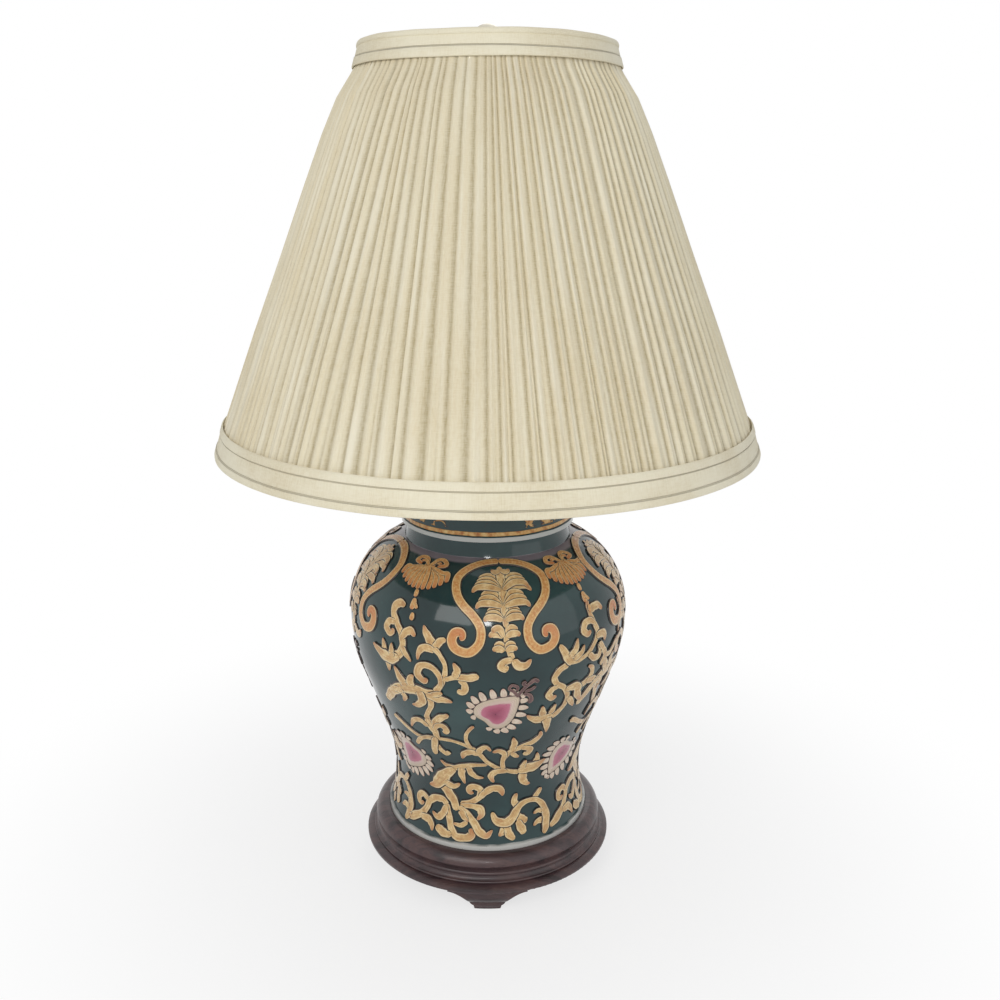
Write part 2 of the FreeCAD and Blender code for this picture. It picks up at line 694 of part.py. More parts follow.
def harp_saddle():
    """A stamped strip with turned-up ears, each with a half-round lap for the harp."""
    outer = d.saddle_span / 2 + d.saddle_thickness / 2
    inner = outer - d.saddle_thickness
    bend, thick = d.saddle_bend, d.saddle_thickness
    inner_bend = bend - thick
    ear = d.saddle_rise
    flat = outer - bend
    strip = cut_out("harp_saddle_strip", "XZ_Plane", (
        arc_to(-flat, 0.0, bend, LEFT),
        corner(flat, 0.0),
        arc_to(outer, bend, bend, LEFT),
        corner(outer, ear),
        corner(inner, ear),
        corner(inner, bend),
        arc_to(flat, thick, inner_bend, RIGHT),
        corner(-flat, thick),
        arc_to(-inner, bend, inner_bend, RIGHT),
        corner(-inner, ear),
        corner(-outer, ear),
        corner(-outer, bend),
    ), d.saddle_disc_radius * 2)
    half = d.saddle_arm_width / 2
    meet = leg(d.saddle_disc_radius, half)
    plan = cut_out("harp_saddle_plan", "XY_Plane", (
        corner(-outer, -half),
        corner(-meet, -half),
        arc_to(meet, -half, d.saddle_disc_radius, LEFT),
        corner(outer, -half),
        corner(outer, half),
        corner(meet, half),
        arc_to(-meet, half, d.saddle_disc_radius, LEFT),
        corner(-outer, half),
    ), ear * 4)
    trimmed = common("harp_saddle_trimmed", strip, plan)
    hole = cylinder("harp_saddle_hole", d.pipe_radius + d.thread_play, thick * 4, -thick * 2)
    drilled = cut("harp_saddle_drilled", trimmed, hole)
    laps = [half_round(f"harp_saddle_lap_{name}", side, d.lap_height, ear)
            for name, side in (("left", LEFT * -1), ("right", LEFT))]
    saddle = fused("harp_saddle", [drilled] + laps)
    bind(saddle, Placement__Base__z=saddle_level)
    return saddle


# ---- harp ----------------------------------------------------------------------


def wire_path(start, heading, moves):
    """A path of lines and tangent arcs in the plane of the harp, as one wire."""
    edges, here, angle = [], start, heading
    for length, turn in moves:
        along = FreeCAD.Vector(math.sin(angle), 0, math.cos(angle))
        if turn == 0:
            there = here + along * length
            edges.append(Part.LineSegment(here, there).toShape())
        else:
            side = FreeCAD.Vector(math.cos(angle), 0, -math.sin(angle)) * math.copysign(1, turn)
            centre = here + side * length
            middle_angle, end_angle = angle + turn / 2, angle + turn
            spots = []
            for bearing in (middle_angle, end_angle):
                out = FreeCAD.Vector(math.cos(bearing), 0, -math.sin(bearing))
                spots.append(centre - out * (length * math.copysign(1, turn)))
            edges.append(Part.Arc(here, spots[0], spots[1]).toShape())
            there, angle = spots[1], end_angle
        here = there
    return Part.Wire(edges)


def harp_half(side):
    """One leg of the harp, from its foot to the middle of the top."""
    leg_x = d.saddle_span.number / 2
    across = d.harp_half_width.number - leg_x
    rise = d.harp_widest.number - d.harp_leg.number
    splay = 2 * math.atan2(across, rise)
    sweep = rise / math.sin(splay)
    tight = sweep * 0.18
    wire_top = d.harp_height.number - d.harp_seat_thickness.number - d.harp_wire_radius.number
    crown_rise = wire_top - d.harp_widest.number
    top_radius = d.harp_top_radius.number
    lean = 2 * math.atan2(d.harp_half_width.number - top_radius, crown_rise - top_radius)
    shoulder = top_radius + (crown_rise - top_radius) / math.sin(lean)
    moves = (
        (d.harp_leg.number, 0),
        (tight, splay * side),
        (sweep - tight, -splay * side),
        (shoulder, -lean * side),
        (top_radius, -(math.pi / 2 - lean) * side),
    )
    foot = FreeCAD.Vector(leg_x * side, 0, harp_foot.number)
    path = wire_path(foot, 0.0, moves)
    circle = Part.Circle(foot, FreeCAD.Vector(0, 0, 1), d.harp_wire_radius.number)
    section = Part.Wire([circle.toShape()])
    return path.makePipeShell([section], True, False)


def harp():
    """A sprung wire loop with a round seat on top and half-round laps at its feet."""
    seat_foot = shade_seat.number - d.harp_seat_thickness.number
    seat = Part.makeCylinder(d.harp_seat_radius.number, d.harp_seat_thickness.number,
                             FreeCAD.Vector(0, 0, seat_foot))
    boss_height = d.harp_wire_radius.number * 2
    boss = Part.makeCylinder(d.stud_radius.number + 1.4, boss_height,
                             FreeCAD.Vector(0, 0, seat_foot - boss_height))
    loop = harp_half(LEFT).fuse([harp_half(RIGHT), seat, boss])
    lap = d.lap_height.number
    reach = d.sleeve_radius.number * 2
    for side in (LEFT, RIGHT):
        inner_x = d.saddle_span.number / 2 * side
        low_x = min(inner_x, inner_x + reach * side)
        low = FreeCAD.Vector(low_x, -reach, harp_foot.number - lap)
        loop = loop.cut(Part.makeBox(reach, reach * 2, lap * 2, low))
    return formed("harp", loop.removeSplitter())


def harp_stud():
    """The threaded stud that the shade's washer drops over."""
    radius, top = d.stud_radius, d.stud_height
    return turned("harp_stud", (
        corner(0.0, 0.0),
        corner(radius, 0.0),
        corner(radius, top - 0.8),
        corner(radius - 0.8, top),
        corner(0.0, top),
    ), shade_seat)


def harp_sleeve(label, side):
    """A brass sleeve that drops over the lap of harp and saddle and locks it."""
    bore = d.harp_wire_radius + d.running_gap
    outside, top = d.sleeve_radius, d.sleeve_height
    sleeve = turned(label, (
        corner(bore, 0.0),
        corner(outside - 0.4, 0.0),
        corner(outside, 0.4),
        corner(outside, top - 2.2),
        arc_to(outside - 1.0, top, 3.6, LEFT),
        corner(bore, top),
    ), harp_foot)
    bind(sleeve, Placement__Base__x=d.saddle_span * (side / 2))
    return sleeve


# ---- socket, switch and bulb ---------------------------------------------------


def socket_cap():
    """The domed brass cap, with the collar that screws on the pipe."""
    bore = d.pipe_radius + d.thread_play
    collar, outside, wall = d.socket_collar_radius, d.socket_cap_radius, d.socket_wall
    low, top = d.socket_collar_height, d.socket_cap_height
    shoulder = low + 6.5
    return turned("socket_cap", (
        corner(bore, 0.0),
        corner(collar, 0.0),
        corner(collar, low - 1.0),
        arc_to(outside, shoulder, 10.5, LEFT),
        corner(outside, top),
        corner(outside - wall, top),
        corner(outside - wall, shoulder + 0.2),
        arc_to(collar, low + wall, 10.0, RIGHT),
        corner(bore, low + wall),
    ), socket_level)


def socket_shell():
    """The straight brass shell, with a rolled lip and a hole for the switch shaft."""
    outside, wall, top = shell_radius, d.socket_wall, d.shell_height
    blank = turned("socket_shell_blank", (
        corner(outside - wall, 0.0),
        corner(outside, 0.0),
        corner(outside, top - 3.4),
        arc_to(outside + 0.8, top - 2.6, 1.1, LEFT),
        arc_to(outside - wall, top, 2.4, LEFT),
    ), shell_level)
    hole = crosswise("socket_shell_hole", d.shaft_radius + 1.0, shell_radius * 2, switch_level)
    return cut("socket_shell", blank, hole)


def socket_sleeve():
    """The insulating sleeve that lines the shell."""
    height = d.shell_height - 4.0
    blank = tube("socket_sleeve_blank", sleeve_outside, sleeve_outside - d.liner_wall,
                 height, shell_level + 0.6)
    hole = crosswise("socket_sleeve_hole", d.shaft_radius + 0.8, shell_radius * 2, switch_level)
    return cut("socket_sleeve", blank, hole)


def socket_block():
    """The insulating block: flats for the terminals, a cam pocket and a shaft hole."""
    blank = cylinder("socket_block_blank", block_radius, d.block_height, block_level)
    flat = block_radius - d.terminal_height - 0.8
    height = d.block_height - 5.0
    notches = []
    for name, side in (("left", -1), ("right", 1)):
        low_x = flat if side > 0 else -block_radius
        notches.append(box(f"socket_block_notch_{name}", block_radius - flat,
                           d.terminal_radius * 4, height,
                           (low_x, d.terminal_radius * -2, block_level)))
    pocket = crosswise("socket_block_pocket", d.cam_radius + d.slip_gap,
                       d.cam_length + 0.6, switch_level)
    bind(pocket, Placement__Base__y=0.3)
    shaft = crosswise("socket_block_shaft", d.shaft_radius + d.running_gap,
                      block_radius * 2, switch_level)
    cavity = fused("socket_block_cavity", notches + [pocket, shaft])
    return cut("socket_block", blank, cavity)


def terminal_screws():
    """Two binder-head screws on the flats of the block."""
    flat = block_radius - d.terminal_height - 0.8
    level = block_level + (d.block_height - 5.0) / 2
    screws = []
    for name, side in (("left", -1), ("right", 1)):
        screw = doc.addObject("Part::Cylinder", f"terminal_screw_{name}")
        turn = FreeCAD.Rotation(FreeCAD.Vector(0, 1, 0), RIGHT_ANGLE * side)
        screw.Placement.Rotation = turn
        bind(screw, Radius=d.terminal_radius, Height=d.terminal_height,
             Placement__Base__x=flat * side, Placement__Base__z=level)
        screws.append(screw)
    pair = doc.addObject("Part::Compound", "terminal_screws")
    pair.Links = screws
    return pair


def screw_shell():
    """The thin cup that takes the bulb's screw base, open round its centre contact."""
    inside, wall, top = d.screw_shell_radius, d.screw_shell_wall, d.screw_shell_height
    opening = 7.0
    return turned("screw_shell", (
        corner(opening, 0.0),
        corner(inside + wall, 0.0),
        corner(inside + wall, top),
        corner(inside, top),
        corner(inside, wall),
        corner(opening, wall),
    ), screw_level)


def centre_contact():
    """The bent brass tongue under the bulb's contact."""
    thick, reach = 0.5, 4.2
    top = d.screw_shell_wall + d.bulb_lift - 0.4
    tongue = cut_out("centre_contact", "XZ_Plane", (
        corner(-reach, 0.0),
        corner(reach, 0.0),
        corner(reach, thick),
        corner(-reach + 2.2, thick),
        corner(reach - 0.4, top - thick),
        corner(reach - 0.4, top),
        corner(-reach, thick + 0.1),
    ), 5.0)
    bind(tongue, Placement__Base__z=screw_level)
    return tongue


def switch_shaft():
    """The shaft of the turn switch, with its cam inside the block."""
    shaft = crosswise("switch_shaft_rod", d.shaft_radius, d.shaft_reach, switch_level)
    cam = crosswise("switch_shaft_cam", d.cam_radius, d.cam_length, switch_level)
    return fused("switch_shaft", [shaft, cam])


def switch_knob():
    """A fluted turn knob, bored for its shaft."""
    body = doc.addObject("PartDesign::Body", "switch_knob")
    radius, length = d.knob_radius, d.knob_length
    bore = d.shaft_radius
    depth = length - 3.0
    sketch = new_sketch(body, "XZ_Plane", (
        corner(bore, 0.0),
        corner(radius * 0.8, 0.0),
        corner(radius, 1.4),
        corner(radius, length - 1.0),
        arc_to(radius - 1.0, length, 1.0, LEFT),
        corner(0.0, length),
        corner(0.0, depth),
        corner(bore, depth),
    ))
    turning = body.newObject("PartDesign::Revolution", "switch_knob_turning")
    turning.Profile = sketch
    turning.ReferenceAxis = (sketch, ["V_Axis"])
    turning.Angle = FULL_TURN
    flute_sketch = body.newObject("Sketcher::SketchObject", "switch_knob_flute_outline")
    for feature in body.Origin.OriginFeatures:
        if feature.Role == "XY_Plane":
            flute_sketch.AttachmentSupport = [(feature, "")]
    flute_sketch.MapMode = "FlatFace"
    start = FreeCAD.Vector((radius + 0.4).number, 0, 0)
    flute = flute_sketch.addGeometry(
        Part.Circle(start, FreeCAD.Vector(0, 0, 1), d.knob_flute_radius.number))
    pin(flute_sketch, flute, 3, radius + 0.4, as_size(0.0))
    rule = Sketcher.Constraint("Radius", flute, d.knob_flute_radius.number)
    bind_constraint(flute_sketch, rule, d.knob_flute_radius)
    pocket = body.newObject("PartDesign::Pocket", "switch_knob_flute")
    pocket.Profile = flute_sketch
    pocket.Reversed = True
    bind(pocket, Length=length)
    doc.recompute()
    pattern = body.newObject("PartDesign::PolarPattern", "switch_knob_flutes")
    pattern.Originals = [pocket]
    pattern.Axis = (flute_sketch, ["N_Axis"])
    pattern.Angle = FULL_TURN
    pattern.Occurrences = int(d.knob_flutes.number)
    body.Tip = pattern
    body.Placement.Rotation = FreeCAD.Rotation(FreeCAD.Vector(1, 0, 0), RIGHT_ANGLE)
    seat = -(d.shaft_reach - depth)
    bind(body, Placement__Base__y=seat, Placement__Base__z=switch_level)
    return body


def bulb_base():
    """The bulb's screw base: contact button, glass insulator cone and plain rim."""
    outside, top = d.bulb_base_radius, d.bulb_base_height
    cup = d.bulb_neck_radius + 0.1
    return turned("bulb_base", (
        corner(0.0, 0.0),
        corner(4.6, 0.0),
        corner(4.6, 0.9),
        arc_to(9.6, 2.8, 12.0, RIGHT),
        corner(outside, 5.0),
        corner(outside, top),
        corner(cup, top),
        corner(cup, top - 5.0),
        corner(0.0, top - 5.0),
    ), bulb_level)


def bulb_outline(wall):
    """Half the outline of the glass, from the middle of its top down to its neck."""
    spread = Size(42.0)
    radius = d.bulb_radius - wall
    neck = d.bulb_neck_radius - wall
    hollow = 24.0 + wall
    centre = d.bulb_length - d.bulb_radius
    slope_from = radius * cosine(spread)
    slope_to = neck + hollow * (1 - cosine(spread))
    drop = (slope_from - slope_to) / sine(spread) * cosine(spread)
    neck_top = centre - (radius + hollow) * sine(spread) - drop
    return (
        (0.0, centre + radius),
        (slope_from, centre - radius * sine(spread)),
        (slope_to, neck_top + hollow * sine(spread)),
        (neck, neck_top),
        radius,
        hollow,
    )


def bulb_glass():
    """The pear-shaped glass, one even wall, standing in the cup of its base."""
    top, cheek, slope, neck, radius, hollow = bulb_outline(as_size(0.0))
    top_in, cheek_in, slope_in, neck_in, radius_in, hollow_in = bulb_outline(d.bulb_wall)
    foot = d.bulb_base_height - 4.8
    return turned("bulb_glass", (
        corner(neck_in[0], foot),
        corner(neck[0], foot),
        corner(*neck),
        arc_to(*slope, hollow, RIGHT),
        corner(*cheek),
        arc_to(d.bulb_radius, d.bulb_length - d.bulb_radius, radius, LEFT),
        arc_to(*top, radius, LEFT),
        corner(*top_in),
        arc_to(radius_in, d.bulb_length - d.bulb_radius, radius_in, RIGHT),
        arc_to(*cheek_in, radius_in, RIGHT),
        corner(*slope_in),
        arc_to(*neck_in, hollow_in, LEFT),
    ), bulb_level)


# ---- shade ---------------------------------------------------------------------

liner_slope = (d.shade_bottom_radius - d.shade_top_radius) / d.shade_height


def liner_radius(above_foot):
    """Outside of the stiff liner at a height above the shade's bottom edge."""
    return d.shade_bottom_radius - d.fold_inset - liner_slope * above_foot


def shade_liner():
    low = d.hem_gap
    high = d.shade_height - d.hem_gap
    return turned("shade_liner", (
        corner(liner_radius(low) - d.liner_thickness, low),
        corner(liner_radius(low), low),
        corner(liner_radius(high), high),
        corner(liner_radius(high) - d.liner_thickness, high),
    ), shade_foot)


def band_inside_bottom(above_foot):
    """Inside of the bottom band at a height above the shade's bottom edge."""
    lean = d.bottom_band_lean * liner_slope
    return d.shade_bottom_radius - d.band_thickness - d.band_step - lean * above_foot


def band_inside_top(below_edge):
    """Inside of the top band at a depth below the shade's top edge."""
    lean = d.top_band_lean * liner_slope
    return d.shade_top_radius - d.band_thickness - d.band_step + lean * below_edge


def bottom_trim():
    """Three folds of cloth round the bottom, turned in under the edge."""
    outside = d.band_thickness + d.band_step
    step = d.band_step
    top = d.bottom_band_height
    first, second = top * 0.25, top * 0.74
    inner = liner_radius(as_size(0.0)) - d.liner_thickness
    return turned("bottom_trim", (
        corner(inner, 0.0),
        corner(band_inside_bottom(as_size(0.0)) + outside - 0.8, 0.0),
        arc_to(band_inside_bottom(as_size(0.8)) + outside, 0.8, 0.8, LEFT),
        corner(band_inside_bottom(first) + outside, first),
        corner(band_inside_bottom(first) + outside - step, first),
        corner(band_inside_bottom(second) + outside - step, second),
        corner(band_inside_bottom(second) + outside, second),
        corner(band_inside_bottom(top - 0.5) + outside, top - 0.5),
        corner(band_inside_bottom(top) + outside - 0.5, top),
        corner(band_inside_bottom(top), top),
        corner(band_inside_bottom(d.hem_turn), d.hem_turn),
        corner(inner, d.hem_turn),
    ), shade_foot)


def top_trim():
    """Two folds of cloth and a rolled rim round the top, turned in over the edge."""
    outside = d.band_thickness + d.band_step
    step = d.band_step
    low = d.top_band_height
    rim, fold = low * 0.22, low * 0.61
    inner = liner_radius(d.shade_height) - d.liner_thickness
    top = d.shade_height
    return turned("top_trim", (
        corner(inner, top - d.hem_turn),
        corner(band_inside_top(d.hem_turn), top - d.hem_turn),
        corner(band_inside_top(low), top - low),
        corner(band_inside_top(low) + outside - 0.5, top - low),
        corner(band_inside_top(low - 0.5) + outside, top - low + 0.5),
        corner(band_inside_top(fold) + outside, top - fold),
        corner(band_inside_top(fold) + outside - step, top - fold),
        corner(band_inside_top(rim) + outside - step, top - rim),
        arc_to(band_inside_top(rim * 0.5) + outside, top - rim * 0.5, 2.0, LEFT),
        arc_to(band_inside_top(as_size(0.0)) + outside - 1.2, top, 2.2, LEFT),
        corner(inner, top),
    ), shade_foot)


def pleat_ridge(above_foot):
    """Outside of the pleats: a cone with some fullness, held in under both bands."""
    low_held = d.bottom_band_height.number * 0.5
    top_held = d.shade_height.number - d.top_band_height.number
    slack = 0.25
    if above_foot <= low_held:
        return band_inside_bottom(as_size(above_foot)).number - slack
    if above_foot >= top_held:
        return band_inside_top(d.shade_height - above_foot).number - slack
    start = band_inside_bottom(as_size(low_held)).number
    crown = band_inside_top(d.top_band_height).number
    share = (above_foot - low_held) / (top_held - low_held)
    fullness = d.pleat_fullness.number * math.sin(math.pi * share ** 1.25)
    return start + (crown - start) * share + fullness - slack


def pleat_section(above_foot):
    """A closed zigzag round the shade: a broad face and a short return for each pleat."""
    count = int(d.pleat_count.number)
    ridge = pleat_ridge(above_foot)
    valley = ridge - d.pleat_depth.number * min(1.0, ridge / d.shade_bottom_radius.number + 0.3)
    valley = max(valley, liner_radius(as_size(above_foot)).number + 0.2)
    level = shade_foot.number + above_foot
    spots = []
    for i in range(count):
        for radius, shift in ((valley, 0.0), (ridge, 0.68)):
            bearing = 2 * math.pi * (i + shift) / count
            spots.append(FreeCAD.Vector(radius * math.cos(bearing),
                                        radius * math.sin(bearing), level))
    return Part.makePolygon(spots + spots[:1])


def shade_cover():
    """The pleated cloth over the liner, from hem to hem."""
    low = d.hem_gap.number
    high = d.shade_height.number - d.hem_gap.number
    neck = d.shade_height.number - d.top_band_height.number
    span = neck - low
    levels = (low, low + span * 0.42, low + span * 0.80, neck, high)
    outside = Part.makeLoft([pleat_section(level) for level in levels], True, True)
    gap = 0.1
    reach = 2.0
    below = liner_radius(as_size(low - reach)).number + gap
    above = liner_radius(as_size(high + reach)).number + gap
    hollow = Part.makeCone(below, above, high - low + 2 * reach,
                           FreeCAD.Vector(0, 0, shade_foot.number + low - reach))
    return formed("shade_cover", outside.cut(hollow))


def ring_radius(above_foot):
    """Centre line of a ring wire that lies against the inside of the liner."""
    touch = d.ring_wire_radius * root(liner_slope * liner_slope + 1)
    return liner_radius(above_foot) - d.liner_thickness - touch - d.thread_play


def shade_ring(label, above_foot):
    """A ring of round wire against the inside of the liner."""
    ring = doc.addObject("Part::Torus", label)
    bind(ring, Radius1=ring_radius(above_foot), Radius2=d.ring_wire_radius,
         Placement__Base__z=shade_foot + above_foot)
    return ring


def fitter_washer():
    """The round plate that drops over the harp's stud."""
    return tube("fitter_washer", d.fitter_washer_radius, d.fitter_hole_radius,
                d.fitter_washer_thickness, washer_level)


def fitter_arms(ring, washer):
    """Straight wires from the washer up to the ring, trimmed to seat on both."""
    wire = d.ring_wire_radius
    inner = d.fitter_washer_radius - d.arm_weld
    inner_level = washer_level + d.fitter_washer_thickness + wire - d.arm_sink
    outer = ring_radius(d.shade_height - d.ring_lift)
    rise = shade_top - d.ring_lift - inner_level
    reach = outer - inner
    count = int(d.arm_count.number)
    arms = []
    for i in range(count):
        bearing = math.pi / 2 + 2 * math.pi * i / count
        out = FreeCAD.Vector(math.cos(bearing), math.sin(bearing), 0)
        start = out * inner.number + FreeCAD.Vector(0, 0, inner_level.number)
        along = out * reach.number + FreeCAD.Vector(0, 0, rise.number)
        arm = doc.addObject("Part::Cylinder", f"fitter_arm_{i + 1}")
        arm.Placement = FreeCAD.Placement(
            start, FreeCAD.Rotation(FreeCAD.Vector(0, 0, 1), along))
        bind(arm, Radius=wire, Height=root(reach * reach + rise * rise))
        arms.append(arm)
    bundle = doc.addObject("Part::Compound", "fitter_arms_blank")
    bundle.Links = arms
    seats = fused("fitter_arms_seats", [ring, washer])
    return cut("fitter_arms", bundle, seats)


def finial():
    """A turned brass knob with a blind threaded hole for the harp's stud."""
    bore = d.stud_radius + d.running_gap
    foot, stem, knob, top = (d.finial_flange_radius, d.finial_stem_radius,
                             d.finial_radius, d.finial_height)
    hole = d.stud_height - 0.6
    widest = top - 5.6
    crown = knob - 2.6
    crown_rise = as_size(1.2)
    crown_sweep = (crown * crown + crown_rise * crown_rise) / (crown_rise * 2)
    return turned("finial", (
        corner(bore, 0.0),
        corner(foot, 0.0),
        corner(foot, 1.4),
        arc_to(stem, 4.0, 3.4, RIGHT),
        corner(stem, top - 11.6),
        arc_to(stem + 0.4, top - 10.2, 1.1, LEFT),
        arc_to(knob, widest, 6.6, LEFT),
        arc_to(crown, top - crown_rise, 6.0, LEFT),
        arc_to(0.0, top, crown_sweep, LEFT),
        corner(0.0, hole),
        corner(bore, hole),
    ), finial_level)


# ---- the lamp ------------------------------------------------------------------


def build_lamp():
    keep(wooden_stand())
    for label, turn in FOOT_PLACES:
        keep(carved_foot(label, turn))
    keep(jar_body())
    keep(jar_lid())
    keep(tube("lamp_pipe", d.pipe_radius, d.pipe_bore, pipe_length, pipe_foot))
    keep(cord_bushing())
    keep(tube("bottom_washer", d.washer_radius, d.pipe_radius + d.slip_gap,
              d.washer_thickness, washer_under))
    keep(bottom_nut())
    keep(tube("lid_gasket", d.gasket_radius, d.pipe_radius + d.slip_gap,
              d.gasket_thickness, lid_top))
    keep(vase_cap())
    keep(brass_neck())
    keep(harp_saddle())
    keep(harp())
    keep(harp_stud())
    keep(harp_sleeve("sleeve_left", LEFT * -1))
    keep(harp_sleeve("sleeve_right", LEFT))
    keep(socket_cap())
    keep(socket_shell())
    keep(socket_sleeve())
    keep(socket_block())
    keep(terminal_screws())
    keep(screw_shell())
    keep(centre_contact())
    keep(switch_shaft())
    keep(switch_knob())
    keep(bulb_base())
    keep(bulb_glass())
    keep(shade_liner())
    keep(shade_cover())
    keep(bottom_trim())
    keep(top_trim())
    keep(shade_ring("bottom_ring", d.ring_lift))
    ring = keep(shade_ring("top_ring", d.shade_height - d.ring_lift))
    washer = keep(fitter_washer())
    keep(fitter_arms(ring, washer))
    keep(finial())


def check_and_export():
    doc.recompute()
    faults = [item.Label for item in doc.Objects
              if "Invalid" in item.State or "Error" in item.State]
    for item in subparts:
        if item.Shape.isNull() or not item.Shape.isValid() or not item.Shape.Solids:
            faults.append(item.Label)
    if faults:
        raise RuntimeError("faulty pieces: " + ", ".join(sorted(set(faults))))
    os.makedirs("parts", exist_ok=True)
    for item in subparts:
        item.Shape.exportStep(f"parts/{item.Label}.step")
        print(item.Label, len(item.Shape.Solids), round(item.Shape.Volume, 1))


build_lamp()
check_and_export()
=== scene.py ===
"""A ginger jar table lamp, dressed round its frame: pleated shade, glazed and enamelled jar,
rosewood stand and brass fittings, on a pale studio floor.  Metres, +Z up, front at -Y."""

import math
import random

import bpy
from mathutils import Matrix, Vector


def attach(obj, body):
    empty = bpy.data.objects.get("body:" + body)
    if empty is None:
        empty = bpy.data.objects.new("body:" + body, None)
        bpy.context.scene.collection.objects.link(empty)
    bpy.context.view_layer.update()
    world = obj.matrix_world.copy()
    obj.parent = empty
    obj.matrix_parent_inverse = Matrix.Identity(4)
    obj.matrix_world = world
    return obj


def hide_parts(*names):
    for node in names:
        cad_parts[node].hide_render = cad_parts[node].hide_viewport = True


MM = 0.001
RIGHT = 1
LEFT = -1

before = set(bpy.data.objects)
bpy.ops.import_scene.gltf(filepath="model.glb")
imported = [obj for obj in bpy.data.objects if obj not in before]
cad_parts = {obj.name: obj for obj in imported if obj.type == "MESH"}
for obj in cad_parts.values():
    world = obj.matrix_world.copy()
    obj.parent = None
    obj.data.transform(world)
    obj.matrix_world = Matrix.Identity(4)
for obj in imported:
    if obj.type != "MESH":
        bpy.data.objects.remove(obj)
for spare in ("Cube", "Light", "Camera"):
    if spare in bpy.data.objects:
        bpy.data.objects.remove(bpy.data.objects[spare])
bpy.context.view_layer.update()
shapes = random.Random(7)


# ---- what the materials are written with ------------------------------------------


def paint(red, green, blue):
    """A colour given as it is seen, 0 to 255, as the renderer's linear colour."""
    linear = []
    for level in (red, green, blue):
        share = level / 255
        linear.append(share / 12.92 if share < 0.04045 else ((share + 0.055) / 1.055) ** 2.4)
    return (*linear, 1.0)


class Field:
    """A number that a finish works out over a surface; sums on it add Math nodes."""

    def __init__(self, finish, socket):
        self.finish = finish
        self.socket = socket

    def maths(self, operation, left, right=None, clamp=False):
        return self.finish.node("ShaderNodeMath", {"operation": operation, "use_clamp": clamp},
                                {0: left, 1: right})

    def __add__(self, other):
        return self.maths("ADD", self, other)

    def __radd__(self, other):
        return self.maths("ADD", other, self)

    def __sub__(self, other):
        return self.maths("SUBTRACT", self, other)

    def __rsub__(self, other):
        return self.maths("SUBTRACT", other, self)

    def __mul__(self, other):
        return self.maths("MULTIPLY", self, other)

    def __rmul__(self, other):
        return self.maths("MULTIPLY", other, self)

    def __truediv__(self, other):
        return self.maths("DIVIDE", self, other)

    def __pow__(self, other):
        return self.maths("POWER", self, other)

    def __abs__(self):
        return self.maths("ABSOLUTE", self)

    def sine(self):
        return self.maths("SINE", self)

    def between(self, low, high):
        """0 below the low value and 1 above the high one, or the other way round."""
        return self.finish.node("ShaderNodeMapRange", {"interpolation_type": "SMOOTHSTEP"},
                                {"Value": self, "From Min": low, "From Max": high})


class Finish:
    """One material of the lamp: a surface shader and the nodes that feed it."""

    def __init__(self, name, **constants):
        self.material = bpy.data.materials.new(name)
        self.material.use_nodes = True
        self.tree = self.material.node_tree
        self.surface = self.tree.nodes["Principled BSDF"]
        for label, value in constants.items():
            self.surface.inputs[label.replace("_", " ")].default_value = value

    def node(self, kind, settings=None, values=None, out=0):
        """Adds one node: its settings first, then the values or links of its inputs."""
        node = self.tree.nodes.new(kind)
        for label, value in (settings or {}).items():
            if label == "stops":
                self.set_stops(node.color_ramp, value)
            else:
                setattr(node, label, value)
        for label, value in (values or {}).items():
            if isinstance(value, Field):
                self.tree.links.new(value.socket, node.inputs[label])
            elif value is not None:
                node.inputs[label].default_value = value
        return Field(self, node.outputs[out])

    def set_stops(self, ramp, stops):
        while len(ramp.elements) < len(stops):
            ramp.elements.new(1.0)
        for element, (place, colour) in zip(ramp.elements, stops):
            element.position = place
            element.color = colour

    def feed(self, **links):
        """Links fields to the surface: Base_Color, Roughness, Normal and so on."""
        for label, field in links.items():
            self.tree.links.new(field.socket, self.surface.inputs[label.replace("_", " ")])
        return self

    def places(self, stretch=(1, 1, 1)):
        """Object coordinates, stretched by these factors."""
        where = self.node("ShaderNodeTexCoord", out="Object")
        return self.node("ShaderNodeMapping", values={"Vector": where, "Scale": stretch})

    def drawn(self, stretch=(1, 1, 1)):
        """The piece's own drawing coordinates, stretched by these factors."""
        where = self.node("ShaderNodeUVMap", {"uv_map": DRAWN})
        return self.node("ShaderNodeMapping", values={"Vector": where, "Scale": stretch})

    def parts(self, vector):
        return [self.node("ShaderNodeSeparateXYZ", values={"Vector": vector}, out=i)
                for i in range(3)]

    def noise(self, where, scale, detail=3.0, roughness=0.55, distortion=0.0):
        return self.node("ShaderNodeTexNoise", values={
            "Vector": where, "Scale": scale, "Detail": detail, "Roughness": roughness,
            "Distortion": distortion})

    def cells(self, where, scale, spread=1.0, feature="F1", out="Distance"):
        return self.node("ShaderNodeTexVoronoi", {"feature": feature},
                         {"Vector": where, "Scale": scale, "Randomness": spread}, out)

    def blend(self, share, low, high):
        """One colour where the share is 0 and the other where it is 1."""
        return self.node("ShaderNodeMix", {"data_type": "RGBA"}, {0: share, 6: low, 7: high}, 2)

    def ramp(self, share, *stops):
        return self.node("ShaderNodeValToRGB", {"stops": stops}, {"Fac": share})

    def relief(self, height, depth, over=None):
        """Relief from a height field, its full depth in millimetres."""
        return self.node("ShaderNodeBump", values={
            "Height": height, "Distance": depth * MM, "Strength": 1.0, "Normal": over})

    def attribute(self, name):
        return self.node("ShaderNodeAttribute", {"attribute_name": name}, out="Fac")


DRAWN = "drawn"


def dress(material, *nodes):
    """Gives CAD nodes their finish."""
    for name in nodes:
        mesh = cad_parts[name].data
        mesh.materials.clear()
        mesh.materials.append(material)


# ---- what the pieces are made with --------------------------------------------------


